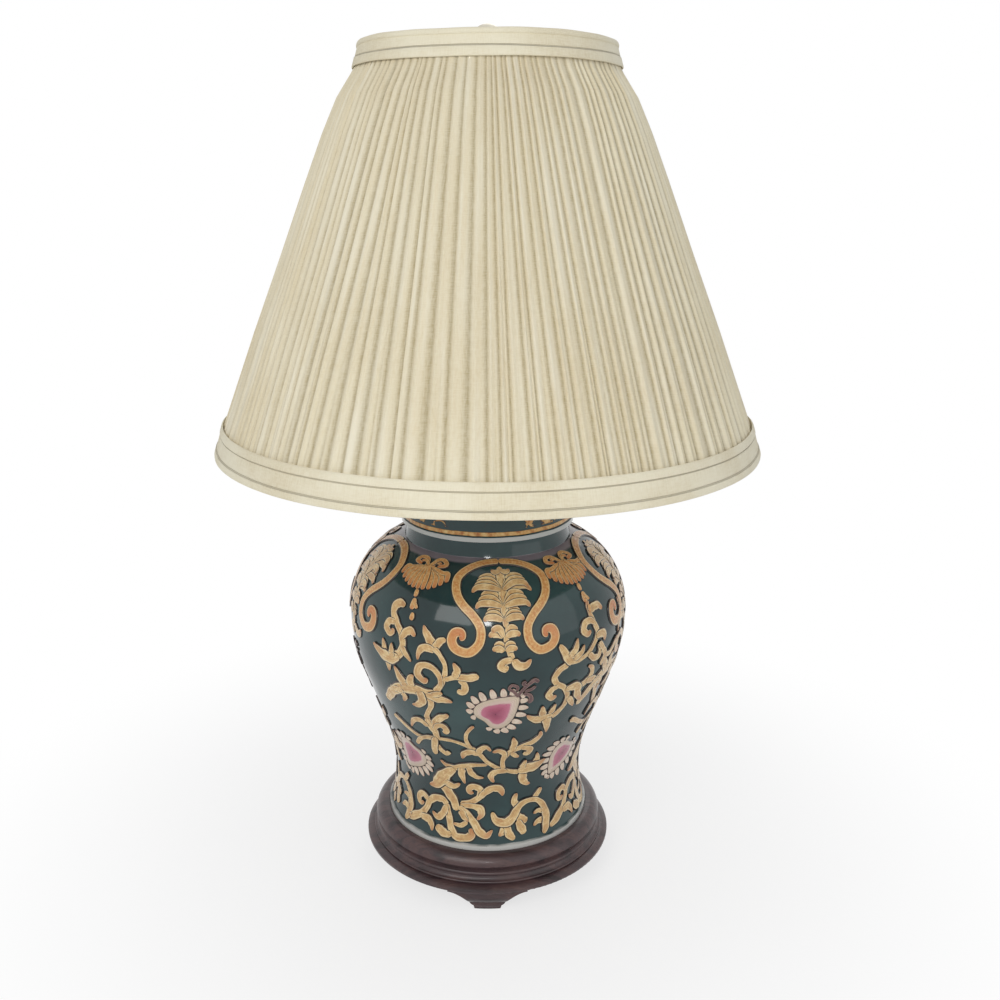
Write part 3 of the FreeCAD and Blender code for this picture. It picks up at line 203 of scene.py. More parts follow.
def nothing_selected():
    if bpy.context.mode != "OBJECT":
        bpy.ops.object.mode_set(mode="OBJECT")
    bpy.ops.object.select_all(action="DESELECT")


def shaped_grid(name, columns, rows, place, closed=False):
    """A grid bent into shape: place(u, v) gives the spot for its shares across and up.
    Its own drawing coordinates stay as the flat grid's shares."""
    nothing_selected()
    bpy.ops.mesh.primitive_grid_add(x_subdivisions=columns, y_subdivisions=rows, size=1.0)
    piece = bpy.context.object
    piece.name = name
    piece.data.name = name
    piece.data.uv_layers[0].name = DRAWN
    for vertex in piece.data.vertices:
        vertex.co = place(vertex.co.x + 0.5, vertex.co.y + 0.5)
    if closed:
        close_seams(piece)
    return piece


def close_seams(piece):
    """Joins edges that meet and turns all faces outwards."""
    nothing_selected()
    bpy.context.view_layer.objects.active = piece
    piece.select_set(True)
    bpy.ops.object.mode_set(mode="EDIT")
    bpy.ops.mesh.select_all(action="SELECT")
    bpy.ops.mesh.remove_doubles(threshold=0.01 * MM)
    bpy.ops.mesh.normals_make_consistent(inside=False)
    bpy.ops.object.mode_set(mode="OBJECT")


def smooth(piece, sharp_above=None):
    nothing_selected()
    bpy.context.view_layer.objects.active = piece
    piece.select_set(True)
    if sharp_above is None:
        bpy.ops.object.shade_smooth()
    else:
        bpy.ops.object.shade_smooth_by_angle(angle=math.radians(sharp_above))
    return piece


def round_axis(turn, radius, level):
    """The spot at a turn in degrees from the front towards +X, a radius and a level, in mm."""
    angle = math.radians(turn)
    return Vector((math.sin(angle) * radius * MM, -math.cos(angle) * radius * MM, level * MM))


# ---- the pleated shade ----------------------------------------------------------------

SHADE_FOOT = 304.6
SHADE_TOP = 551.8
BOTTOM_BAND_TOP = 323.6
TOP_BAND_FOOT = 536.9
SHADE_LINE = ((304.6, 173.9), (323.6, 170.7), (380.0, 149.2), (430.0, 129.2),
              (470.0, 113.6), (500.0, 101.5), (520.0, 92.3), (536.9, 81.1), (551.8, 76.6))
LINER_FOOT_RADIUS = 173.4
LINER_SLOPE = 0.4005
PLEATS = 120
PLEAT_ROWS = 56
PLEAT_DEPTH_LOW = 3.0
PLEAT_DEPTH_HIGH = 2.1
PLEAT_SWEEPS = ((-41, 7, 3.0), (-33, 6, 3.4), (12, 9, -3.6), (24, 8, -3.4), (70, 9, 2.6),
                (118, 8, -2.8), (161, 9, 3.0), (205, 8, -3.2), (251, 9, 2.6), (292, 7, -2.4))


def along_line(line, level):
    """Reads a line of (level, radius) corners at any level."""
    for (low, low_radius), (high, high_radius) in zip(line, line[1:]):
        if level <= high:
            share = max(0.0, (level - low) / (high - low))
            return low_radius + (high_radius - low_radius) * share
    return line[-1][1]


class Pleats:
    """The folds round the shade: where each lies and how it opens on its way down."""

    STOPS = 9

    def __init__(self):
        widths = [shapes.uniform(0.6, 1.5) for _ in range(PLEATS)]
        total = sum(widths)
        self.starts = [0.0]
        for width in widths:
            self.starts.append(self.starts[-1] + 360.0 * width / total)
        self.ridges = [shapes.uniform(0.22, 0.45) for _ in range(PLEATS)]
        self.second = [shapes.uniform(0.35, 1.0) if shapes.random() < 0.78 else 0.0
                       for _ in range(PLEATS)]
        self.heights = [shapes.uniform(0.72, 1.0) for _ in range(PLEATS)]
        self.opens = [shapes.uniform(0.25, 0.7) for _ in range(PLEATS)]

    def stops(self, index, up):
        """Places across one pleat and their heights, valley to valley."""
        ridge = self.ridges[index]
        tall = self.heights[index]
        grown = self.second[index] * max(0.0, 1.0 - up / self.opens[index])
        middle = ridge + (1 - ridge) * 0.42
        later = ridge + (1 - ridge) * 0.66
        soft = 0.06
        straight_middle = tall * (1 - 0.42)
        straight_later = tall * (1 - 0.66)
        dip = straight_middle - grown * 0.42
        bump = straight_later + grown * 0.34
        return ((0.0, 0.0), (ridge * 0.5, tall * 0.42), (ridge - soft, tall * 0.93),
                (ridge + soft, tall * 0.96), ((ridge + middle) / 2, (tall + dip) * 0.5),
                (middle, dip), ((middle + later) / 2, (dip + bump) * 0.5), (later, bump),
                ((later + 1) / 2, bump * 0.5))

    def turn(self, place, up):
        """Angle in degrees of a place, swept aside towards the top as the cloth was pulled."""
        sweep = 0.0
        for centre, spread, shift in PLEAT_SWEEPS:
            away = (place - centre + 180.0) % 360.0 - 180.0
            sweep += shift * math.exp(-(away / spread) ** 2)
        return place + sweep * up ** 1.3

    def spot(self, u, v):
        column = round(u * PLEATS * self.STOPS)
        index, stop = divmod(column, self.STOPS)
        index %= PLEATS
        across, height = self.stops(index, v)[stop]
        place = self.starts[index] + (self.starts[index + 1] - self.starts[index]) * across
        level = SHADE_FOOT + 1.0 + (SHADE_TOP - SHADE_FOOT - 2.0) * v
        depth = PLEAT_DEPTH_LOW + (PLEAT_DEPTH_HIGH - PLEAT_DEPTH_LOW) * v
        pressed = 0.35 if level < BOTTOM_BAND_TOP - 2 or level > TOP_BAND_FOOT + 1 else 1.0
        outside = along_line(SHADE_LINE, level)
        radius = outside - depth * pressed * (1.0 - height)
        liner = LINER_FOOT_RADIUS - LINER_SLOPE * (level - SHADE_FOOT)
        return round_axis(self.turn(place, v), max(radius, liner + 0.15), level)

    def fold(self, u, v):
        column = round(u * PLEATS * self.STOPS)
        index, stop = divmod(column, self.STOPS)
        return self.stops(index % PLEATS, v)[stop][1]


def make_shade_cover():
    pleats = Pleats()
    cover = shaped_grid("shade_pleats", PLEATS * Pleats.STOPS, PLEAT_ROWS, pleats.spot)
    # each point's height across its pleat, kept so that the cloth can paint shade into the valleys
    folds = cover.data.attributes.new("fold", "FLOAT", "POINT")
    side = PLEATS * Pleats.STOPS + 1
    for i in range(len(cover.data.vertices)):
        row, column = divmod(i, side)
        folds.data[i].value = pleats.fold(column / (side - 1), row / PLEAT_ROWS)
    close_seams(cover)
    smooth(cover)
    return cover


# a band's outline: (share of its height, how far it stands out from its leaning line)
BOTTOM_BAND = ((0.0, -0.9), (0.02, -0.1), (0.06, 0.15), (0.235, 0.1), (0.26, -0.45),
               (0.3, -0.35), (0.72, -0.3), (0.745, -0.35), (0.765, 0.15), (0.94, 0.1),
               (0.985, -0.15), (1.0, -0.7))
TOP_BAND = ((0.0, -0.7), (0.02, -0.15), (0.07, 0.1), (0.37, 0.05), (0.395, -0.45),
            (0.43, -0.35), (0.75, -0.35), (0.775, -0.5), (0.80, 0.05), (0.87, 0.4),
            (0.94, 0.35), (0.985, -0.1), (1.0, -0.8))
BAND_STEPS = 240


def make_band(name, outline, low, high, low_radius, high_radius, inner_low, inner_high, seam):
    """A folded strip of cloth round an edge of the shade: lapped folds outside, flat inside."""
    wander = [(shapes.uniform(0.05, 0.16), shapes.randint(3, 17), shapes.uniform(0, 6.28))
              for _ in range(6)]
    outside = [(low + (high - low) * share, low_radius + (high_radius - low_radius) * share + out)
               for share, out in outline]
    inside = [(high - 0.6, inner_high), (low + 0.6, inner_low)]
    ring = outside + inside + outside[:1]

    def place(u, v):
        level, radius = ring[min(round(v * (len(ring) - 1)), len(ring) - 1)]
        turn = 360.0 * u
        wave = sum(size * math.sin(count * math.radians(turn) + phase)
                   for size, count, phase in wander)
        lap = 0.35 if abs((turn - seam + 180) % 360 - 180) < 3.0 else 0.0
        edge = 0.0 if (level, radius) in inside else 1.0
        return round_axis(turn, radius + (wave * 0.6 + lap) * edge, level + wave * 0.5)

    band = shaped_grid(name, BAND_STEPS, len(ring) - 1, place, closed=True)
    return smooth(band, 50)


def make_shade():
    cloth = shade_cloth()
    cover = make_shade_cover()
    bottom = make_band("shade_bottom_band", BOTTOM_BAND, SHADE_FOOT, BOTTOM_BAND_TOP,
                       177.8, 171.9, 173.2, 171.1, 200.0)
    top = make_band("shade_top_band", TOP_BAND, TOP_BAND_FOOT, SHADE_TOP,
                    82.6, 78.4, 81.3, 75.0, 195.0)
    cover.data.materials.append(cloth)
    bottom.data.materials.append(band_cloth("bottom_band_cloth", 177.0, 309.3, 318.7))
    top.data.materials.append(band_cloth("top_band_cloth", 81.0, 542.6))
    for piece, node in ((cover, "shade_cover"), (bottom, "bottom_trim"), (top, "top_trim")):
        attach(piece, "shade")
        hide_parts(node)


# ---- cloth ------------------------------------------------------------------------------


def cloth_grain(finish, around, up):
    """Slubbed plain weave: short threads both ways, as one height field."""
    upright = finish.noise(finish.drawn((around, up * 0.12, 1)), 1.0, 2.0)
    level = finish.noise(finish.drawn((around * 0.16, up, 1)), 1.0, 2.0)
    return upright * 0.55 + level * 0.45


def shade_cloth():
    """Cream pleated cloth with painted shade darkening the pleats' valleys, and age toning here and
    there.
    """
    cloth = Finish("pleated_cream_cloth", Roughness=0.92, Sheen_Weight=0.12,
                   Sheen_Roughness=0.6, Specular_IOR_Level=0.15)
    grain = cloth_grain(cloth, 1500, 420)
    toning = cloth.noise(cloth.places(), 9.0, 4.0)
    streaks = cloth.noise(cloth.drawn((150, 2.5, 1)), 1.0, 3.0)
    fold = cloth.attribute("fold")
    colour = cloth.blend(toning.between(0.35, 0.7), paint(228, 217, 187), paint(219, 205, 172))
    colour = cloth.blend(streaks.between(0.4, 0.75) * 0.7, colour, paint(240, 234, 214))
    # painted shade: where the fold height is low, in each pleat's valley, the cloth darkens towards a
    # dark beige
    colour = cloth.blend((1 - fold.between(-0.1, 0.55)) * 0.85, colour, paint(160, 144, 104))
    colour = cloth.blend(grain.between(0.35, 0.62) * 0.3, colour, paint(243, 237, 216))
    cloth.feed(Base_Color=colour, Normal=cloth.relief(grain, 0.25))
    return cloth.material


def band_cloth(name, radius, *creases):
    """The same cloth laid flat in the folded bands, creased at these levels, with a painted shadow
    line along each crease.
    """
    cloth = Finish(name, Roughness=0.9, Sheen_Weight=0.12, Sheen_Roughness=0.6,
                   Specular_IOR_Level=0.15)
    grain = cloth_grain(cloth, radius * 9.0, 90)
    toning = cloth.noise(cloth.places(), 22.0, 5.0)
    colour = cloth.blend(toning.between(0.38, 0.68), paint(233, 225, 199), paint(220, 208, 177))
    colour = cloth.blend(grain.between(0.35, 0.62) * 0.4, colour, paint(243, 237, 216))
    # painted shadow: a dark line along each crease, which is also dented in the relief
    level = cloth.parts(cloth.places((1000, 1000, 1000)))[2] + toning * 0.8 - 0.4
    line = abs(level - creases[0]).between(0.55, 0.15)
    for crease in creases[1:]:
        line = line + abs(level - crease).between(0.55, 0.15)
    colour = cloth.blend(line * 0.42, colour, paint(148, 136, 106))
    cloth.feed(Base_Color=colour, Normal=cloth.relief(line, -0.5, cloth.relief(grain, 0.2)))
    return cloth.material


# ---- rosewood -----------------------------------------------------------------------------


def rosewood():
    """Dark lacquered rosewood: purple-brown with near-black streaks along the board."""
    wood = Finish("lacquered_rosewood", Specular_IOR_Level=0.35, Coat_Roughness=0.22,
                  Coat_Weight=0.35)
    board = wood.places((1.0, 9.0, 7.0))
    figure = wood.noise(board, 16.0, 5.0, 0.6, 0.6)
    pores = wood.noise(wood.places((1.0, 16.0, 16.0)), 60.0, 3.0)
    worn = wood.noise(wood.places(), 34.0, 4.0)
    colour = wood.ramp(figure, (0.30, paint(33, 22, 24)), (0.48, paint(62, 44, 46)),
                       (0.60, paint(77, 55, 54)), (0.74, paint(48, 32, 35)))
    colour = wood.blend(pores.between(0.60, 0.72) * 0.6, colour, paint(22, 15, 17))
    colour = wood.blend(worn.between(0.55, 0.75) * 0.25, colour, paint(104, 80, 76))
    wood.feed(Base_Color=colour, Roughness=worn * 0.22 + 0.30,
              Normal=wood.relief(pores.between(0.56, 0.72), -0.06))
    return wood.material


# ---- porcelain ------------------------------------------------------------------------------

JAR_FOOT = 37.0
FOOT_RING_TOP = 41.4
NECK_FOOT = 242.0
LID_FOOT = 253.0


def glaze(name):
    """Deep blue-green glaze over porcelain, a touch uneven, with a hard gloss."""
    coat = Finish(name, Specular_IOR_Level=0.45)
    clouds = coat.noise(coat.places(), 14.0, 4.0)
    colour = coat.ramp(clouds, (0.30, paint(20, 40, 42)), (0.52, paint(32, 58, 59)),
                       (0.74, paint(48, 76, 76)))
    ripple = coat.noise(coat.places(), 38.0, 2.0)
    return coat, colour, ripple


def jar_porcelain():
    coat, colour, ripple = glaze("jar_glaze")
    across, along, up = coat.parts(coat.places((1000, 1000, 1000)))
    specks = coat.cells(coat.places(), 420.0)
    white = coat.blend(specks.between(0.10, 0.03), paint(206, 205, 200), paint(120, 112, 104))
    wander = coat.noise(coat.places(), 55.0, 2.0) * 1.2 - 0.6
    ring = (up + wander).between(FOOT_RING_TOP + 0.3, FOOT_RING_TOP - 0.3)
    line = (up + wander * 0.7).between(NECK_FOOT + 0.6, NECK_FOOT - 0.2)
    line = line * (up + wander * 0.7).between(NECK_FOOT - 2.4, NECK_FOOT - 1.4)
    bare = up.between(JAR_FOOT + 0.35, JAR_FOOT + 0.05)
    colour = coat.blend(ring, colour, white)
    colour = coat.blend(line * 0.75, colour, paint(150, 138, 146))
    colour = coat.blend(bare, colour, paint(196, 186, 168))
    coat.feed(Base_Color=colour, Roughness=bare * 0.6 + ring * 0.06 + 0.07 + ripple * 0.04,
              Normal=coat.relief(ripple, 0.35))
    return coat.material


def lid_porcelain():
    """The lid: a pale rim, an ochre band and rust clouds over the same dark glaze."""
    coat, colour, ripple = glaze("lid_glaze")
    across, along, up = coat.parts(coat.places((1000, 1000, 1000)))
    wander = coat.noise(coat.places(), 60.0, 2.0) * 1.0 - 0.5
    level = up + wander - LID_FOOT
    swirl = coat.noise(coat.places(), 62.0, 4.0, 0.6, 1.6)
    veins = coat.noise(coat.places(), 260.0, 3.0)
    ochre = coat.ramp(veins, (0.30, paint(168, 96, 44)), (0.50, paint(206, 156, 88)),
                      (0.72, paint(226, 196, 132)))
    rim = level.between(3.2, 2.6)
    band = level.between(6.6, 6.2) * level.between(3.6, 4.0)
    clouds = swirl.between(0.53, 0.56) * level.between(7.6, 8.2)
    edges = swirl.between(0.50, 0.53) * level.between(7.6, 8.2)
    colour = coat.blend(edges, colour, paint(58, 30, 22))
    colour = coat.blend(clouds, colour, ochre)
    colour = coat.blend(band, colour, ochre)
    colour = coat.blend(rim, colour, paint(188, 190, 186))
    coat.feed(Base_Color=colour, Roughness=0.08 + ripple * 0.05,
              Normal=coat.relief(clouds + band, 0.35, coat.relief(ripple, 0.3)))
    return coat.material


# ---- the enamelled ornament on the jar ---------------------------------------------------
#
# The jar's side is drawn on flat: degrees round it from the front towards +X, and
# millimetres down it from the foot of the neck.

BELLY_LEVEL = 190.4
SHOULDER_CENTRE = 40.8
SHOULDER_SWEEP = 54.0
SHOULDER_LENGTH = 68.7
BELLY_CENTRE = -23.2
BELLY_SWEEP = 118.0
BELLY_LENGTH = 41.2
FLARE_LENGTH = 47.3
FLARE_SLOPE = math.radians(19.99)
WAIST_CENTRE = 168.3
WAIST_LEVEL = 70.4
WAIST_SWEEP = 103.0


def jar_side(down):
    """Radius, level and outward slope of the jar's side, by millimetres down it."""
    if down < SHOULDER_LENGTH:
        slope = (SHOULDER_LENGTH - down) / SHOULDER_SWEEP
        return (SHOULDER_CENTRE + SHOULDER_SWEEP * math.cos(slope),
                BELLY_LEVEL + SHOULDER_SWEEP * math.sin(slope), slope)
    down -= SHOULDER_LENGTH
    if down < BELLY_LENGTH:
        slope = -down / BELLY_SWEEP
        return (BELLY_CENTRE + BELLY_SWEEP * math.cos(slope),
                BELLY_LEVEL + BELLY_SWEEP * math.sin(slope), slope)
    down -= BELLY_LENGTH
    start = jar_side(SHOULDER_LENGTH + BELLY_LENGTH - 0.001)
    if down < FLARE_LENGTH:
        return (start[0] - down * math.sin(FLARE_SLOPE), start[1] - down * math.cos(FLARE_SLOPE),
                -FLARE_SLOPE)
    slope = (down - FLARE_LENGTH) / WAIST_SWEEP - FLARE_SLOPE
    return (WAIST_CENTRE - WAIST_SWEEP * math.cos(slope),
            WAIST_LEVEL - WAIST_SWEEP * math.sin(slope), slope)


def on_jar(turn, down, lift=0.0):
    """The spot on the jar's side, lifted off the glaze by so many millimetres."""
    radius, level, slope = jar_side(down)
    return round_axis(turn, radius + lift * math.cos(slope), level + lift * math.sin(slope))


def along(marks, share):
    """Reads a smooth line through marks of (turn, down, width) at a share of its length."""
    reach = share * (len(marks) - 1)
    i = min(int(reach), len(marks) - 2)
    t = reach - i
    before, first = marks[max(i - 1, 0)], marks[i]
    last, after = marks[i + 1], marks[min(i + 2, len(marks) - 1)]
    return [0.5 * (2 * b + (c - a) * t + (2 * a - 5 * b + 4 * c - e) * t * t
                   + (3 * b - a - 3 * c + e) * t ** 3)
            for a, b, c, e in zip(before, first, last, after)]


# across a stroke: share of its half width, and share of its relief
STROKE_SECTION = ((-1.0, -0.25), (-0.95, 0.8), (-0.78, 0.95), (-0.45, 0.8), (0.0, 1.0),
                  (0.45, 0.8), (0.78, 0.95), (0.95, 0.8), (1.0, -0.25))
STROKE_STEPS = 5
STROKE_RELIEF = 0.8
OUTLINE_WIDTH = 0.55
ROUND_END = 0.35


class Drawing:
    """Strokes of one enamel, each a raised ribbon on the jar, joined into one piece."""

    def __init__(self, name, material):
        self.name = name
        self.material = material
        self.strokes = []

    def stroke(self, marks, turn=0.0, flip=False, relief=STROKE_RELIEF, frill=0.0):
        """A ribbon along marks of (turn, down, width); turned round the jar, or mirrored."""
        if flip:
            marks = [(-place, down, width) for place, down, width in marks]
        steps = STROKE_STEPS * (len(marks) - 1)
        lift = 0.06 * (len(self.strokes) % 7)
        phase = shapes.uniform(0, 6.28)

        def place(u, v):
            where, down, width = along(marks, u)
            ahead, ahead_down, _ = along(marks, min(1.0, u + 0.02))
            behind, behind_down, _ = along(marks, max(0.0, u - 0.02))
            degree = math.radians(1.0) * jar_side(down)[0]
            run, drop = (ahead - behind) * degree, ahead_down - behind_down
            length = math.hypot(run, drop) or 1.0
            share, height = STROKE_SECTION[round(v * (len(STROKE_SECTION) - 1))]
            half = max(width, 0.3) / 2 + OUTLINE_WIDTH
            half *= 1 + frill * math.sin(u * math.pi * len(marks) * 1.5 + phase + share)
            from_end = min(u, 1.0 - u) * (len(marks) - 1) / ROUND_END
            half *= math.sqrt(max(0.04, 1 - max(0.0, 1 - from_end) ** 2))
            side = share * half
            return on_jar(turn + where - drop / length * side / degree,
                          down + run / length * side, height * relief + lift)

        ribbon = shaped_grid(self.name, steps, len(STROKE_SECTION) - 1, place)
        blush = ribbon.data.attributes.new("blush", "FLOAT", "POINT")
        tip = marks[-1][2] < 2.6
        for i in range(len(ribbon.data.vertices)):
            share = (i % (steps + 1)) / steps
            blush.data[i].value = max(0.0, share - 0.45) * 1.6 if tip else 0.15
        self.strokes.append(faced_outwards(ribbon))

    def joined(self):
        nothing_selected()
        for ribbon in self.strokes:
            ribbon.select_set(True)
        bpy.context.view_layer.objects.active = self.strokes[0]
        bpy.ops.object.join()
        piece = bpy.context.object
        piece.name = self.name
        piece.data.name = self.name
        smooth(piece)
        piece.data.materials.append(self.material)
        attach(piece, "lamp_base")
        return piece


def faced_outwards(piece):
    """Turns an open ribbon or disc to face away from the jar's axis."""
    facing = sum(face.area * face.normal.dot(Vector((face.center.x, face.center.y, 0.0)))
                 for face in piece.data.polygons)
    if facing < 0:
        piece.data.flip_normals()
    return piece


# the band that bends round each palmette, from its top to the curl at its right end
RUYI_BAND = ((0, 4.0, 5.4), (6, 4.6, 5.4), (11.5, 6.6, 5.4), (17, 11, 5.4), (20.8, 17.5, 5.6),
             (21, 24.5, 5.6), (19.2, 31.5, 5.6), (16.2, 37, 5.6), (12.6, 42, 5.6),
             (9.7, 48, 5.6), (8.9, 54, 5.8), (10, 60.5, 6.0), (13.6, 65.4, 6.4),
             (18.2, 63.6, 6.6), (20, 58.5, 6.6), (19, 53.6, 6.4), (16.6, 53.2, 6.0),
             (16, 56, 4.2), (17, 57, 2.0))
RUYI_PLACES = (6.5, 79.0, 149.0, 219.0, 289.0)

# the palmette's tiers of lobes, down its stem: level, reach aside in degrees, lobes a side
PALMETTE_TIERS = ((25, 13.0, 4), (35.5, 11.0, 3), (44, 7.6, 3), (54, 5.6, 2), (63, 4.2, 2))
PALMETTE_STEM = (
    ((0.8, 50, 3), (0.6, 58, 3.2), (1.6, 64, 3.4), (2.8, 70, 4.2)),
    ((0, 9, 1), (-0.2, 13, 5), (0, 20, 5.6), (0.2, 30, 5.4), (0.4, 40, 4.4), (0.6, 50, 3.2)),
    ((0.2, 12, 2), (-2.6, 13.5, 4), (-4.6, 11.6, 1)),
    ((0.2, 12, 2), (3, 13.5, 4), (4.8, 11.4, 1)),
    ((2.8, 70, 4), (-0.2, 71.4, 5), (-1.2, 74.4, 6.2), (1.2, 77, 5)),
    ((3.2, 70, 4), (5.2, 74.6, 6.4), (8, 74.6, 5), (9.9, 70.8, 1)),
)


def palmette_lobes():
    """Feathered lobes either side of the stem, the lowest of each tier on top."""
    for down, reach, lobes in PALMETTE_TIERS:
        for i in range(lobes):
            low = i / (lobes - 1)
            drop = reach * 0.62
            for side in (LEFT, RIGHT):
                yield ((side * 0.5, down + 1.5, 2.4),
                       (side * reach * (0.34 + 0.12 * low), down - drop * (1 - 0.9 * low), 4.6),
                       (side * reach * (0.70 + 0.16 * low), down - drop * (0.95 - 0.9 * low), 4.0),
                       (side * reach * (0.80 + 0.22 * low), down - drop * (0.45 - 0.85 * low), 0.8))


SHELL_PLACES = (-32.5, 43.7, 114.0, 184.0, 254.0)
SHELL_RIBS = 11
SHELL_BOW = (
    ((-1, 12.4, 2.4), (-4, 7.4, 2.6), (-8, 7, 2.6), (-9.4, 10.6, 2.6), (-5, 12.6, 2.2)),
    ((1, 12.4, 2.4), (3.4, 7, 2.6), (7, 6.6, 2.6), (9.6, 10.4, 2.6), (5, 12.6, 2.2)),
    ((-0.5, 12.5, 1.8), (-3.5, 9.4, 1.8), (-6.4, 10.4, 1.8)),
    ((0.8, 12.5, 1.8), (3.4, 9.2, 1.8), (6.4, 10.2, 1.8)),
    ((-3, 13, 2.6), (0, 12.4, 3.2), (3.5, 13, 2.6)),
)
SHELL_TASSEL = (
    ((0.4, 30.5, 2), (0.4, 33, 2.6), (0.4, 35.4, 1.6)),
    ((0.6, 36.2, 1.6), (0.8, 40, 4.2), (0.2, 43.4, 2.2)),
    ((1.0, 38.5, 1.6), (2.4, 41.4, 1.6), (2.8, 42.4, 0.6)),
    ((1.6, 45.2, 1.6), (1.5, 48.2, 3.0), (1.2, 50, 1.4)),
)

UPPER_LEFT_SPRAY = (
    ((-35.4, 42.4, 2), (-37.6, 41.6, 5.4), (-39.8, 42.8, 6.6), (-40.4, 47.5, 4.8), (-38.4, 52.5, 4.8),
     (-35.8, 57.5, 4.4), (-34.2, 63, 4.8), (-34.2, 69, 5.0), (-36, 74, 6.4), (-39, 77, 8)),
    ((-38.4, 53.6, 3.4), (-41.4, 54.4, 4.6), (-42.6, 58, 5.0), (-41, 61.4, 4.6), (-39.2, 60.2, 3.6),
     (-39.8, 58.4, 2)),
    ((-34.6, 62.5, 4), (-33, 58.5, 5), (-30.6, 56.6, 5.4), (-28.4, 59.4, 1.4)),
    ((-34.4, 68, 4.4), (-32.6, 72.4, 3.8), (-30.2, 76.8, 0.8)),
    ((-36, 75.5, 5), (-40, 78.4, 9), (-44, 78.2, 9), (-48, 75.5, 4.5), (-50.5, 73, 1)),
    ((-39.8, 77, 5), (-39.6, 72.5, 4), (-39.4, 67.6, 0.5)),
    ((-43.4, 77, 6), (-43.8, 72, 4.4), (-44.4, 66.6, 0.5)),
    ((-42.4, 79, 8), (-42.2, 84, 5), (-42.2, 89, 0.5)),
)

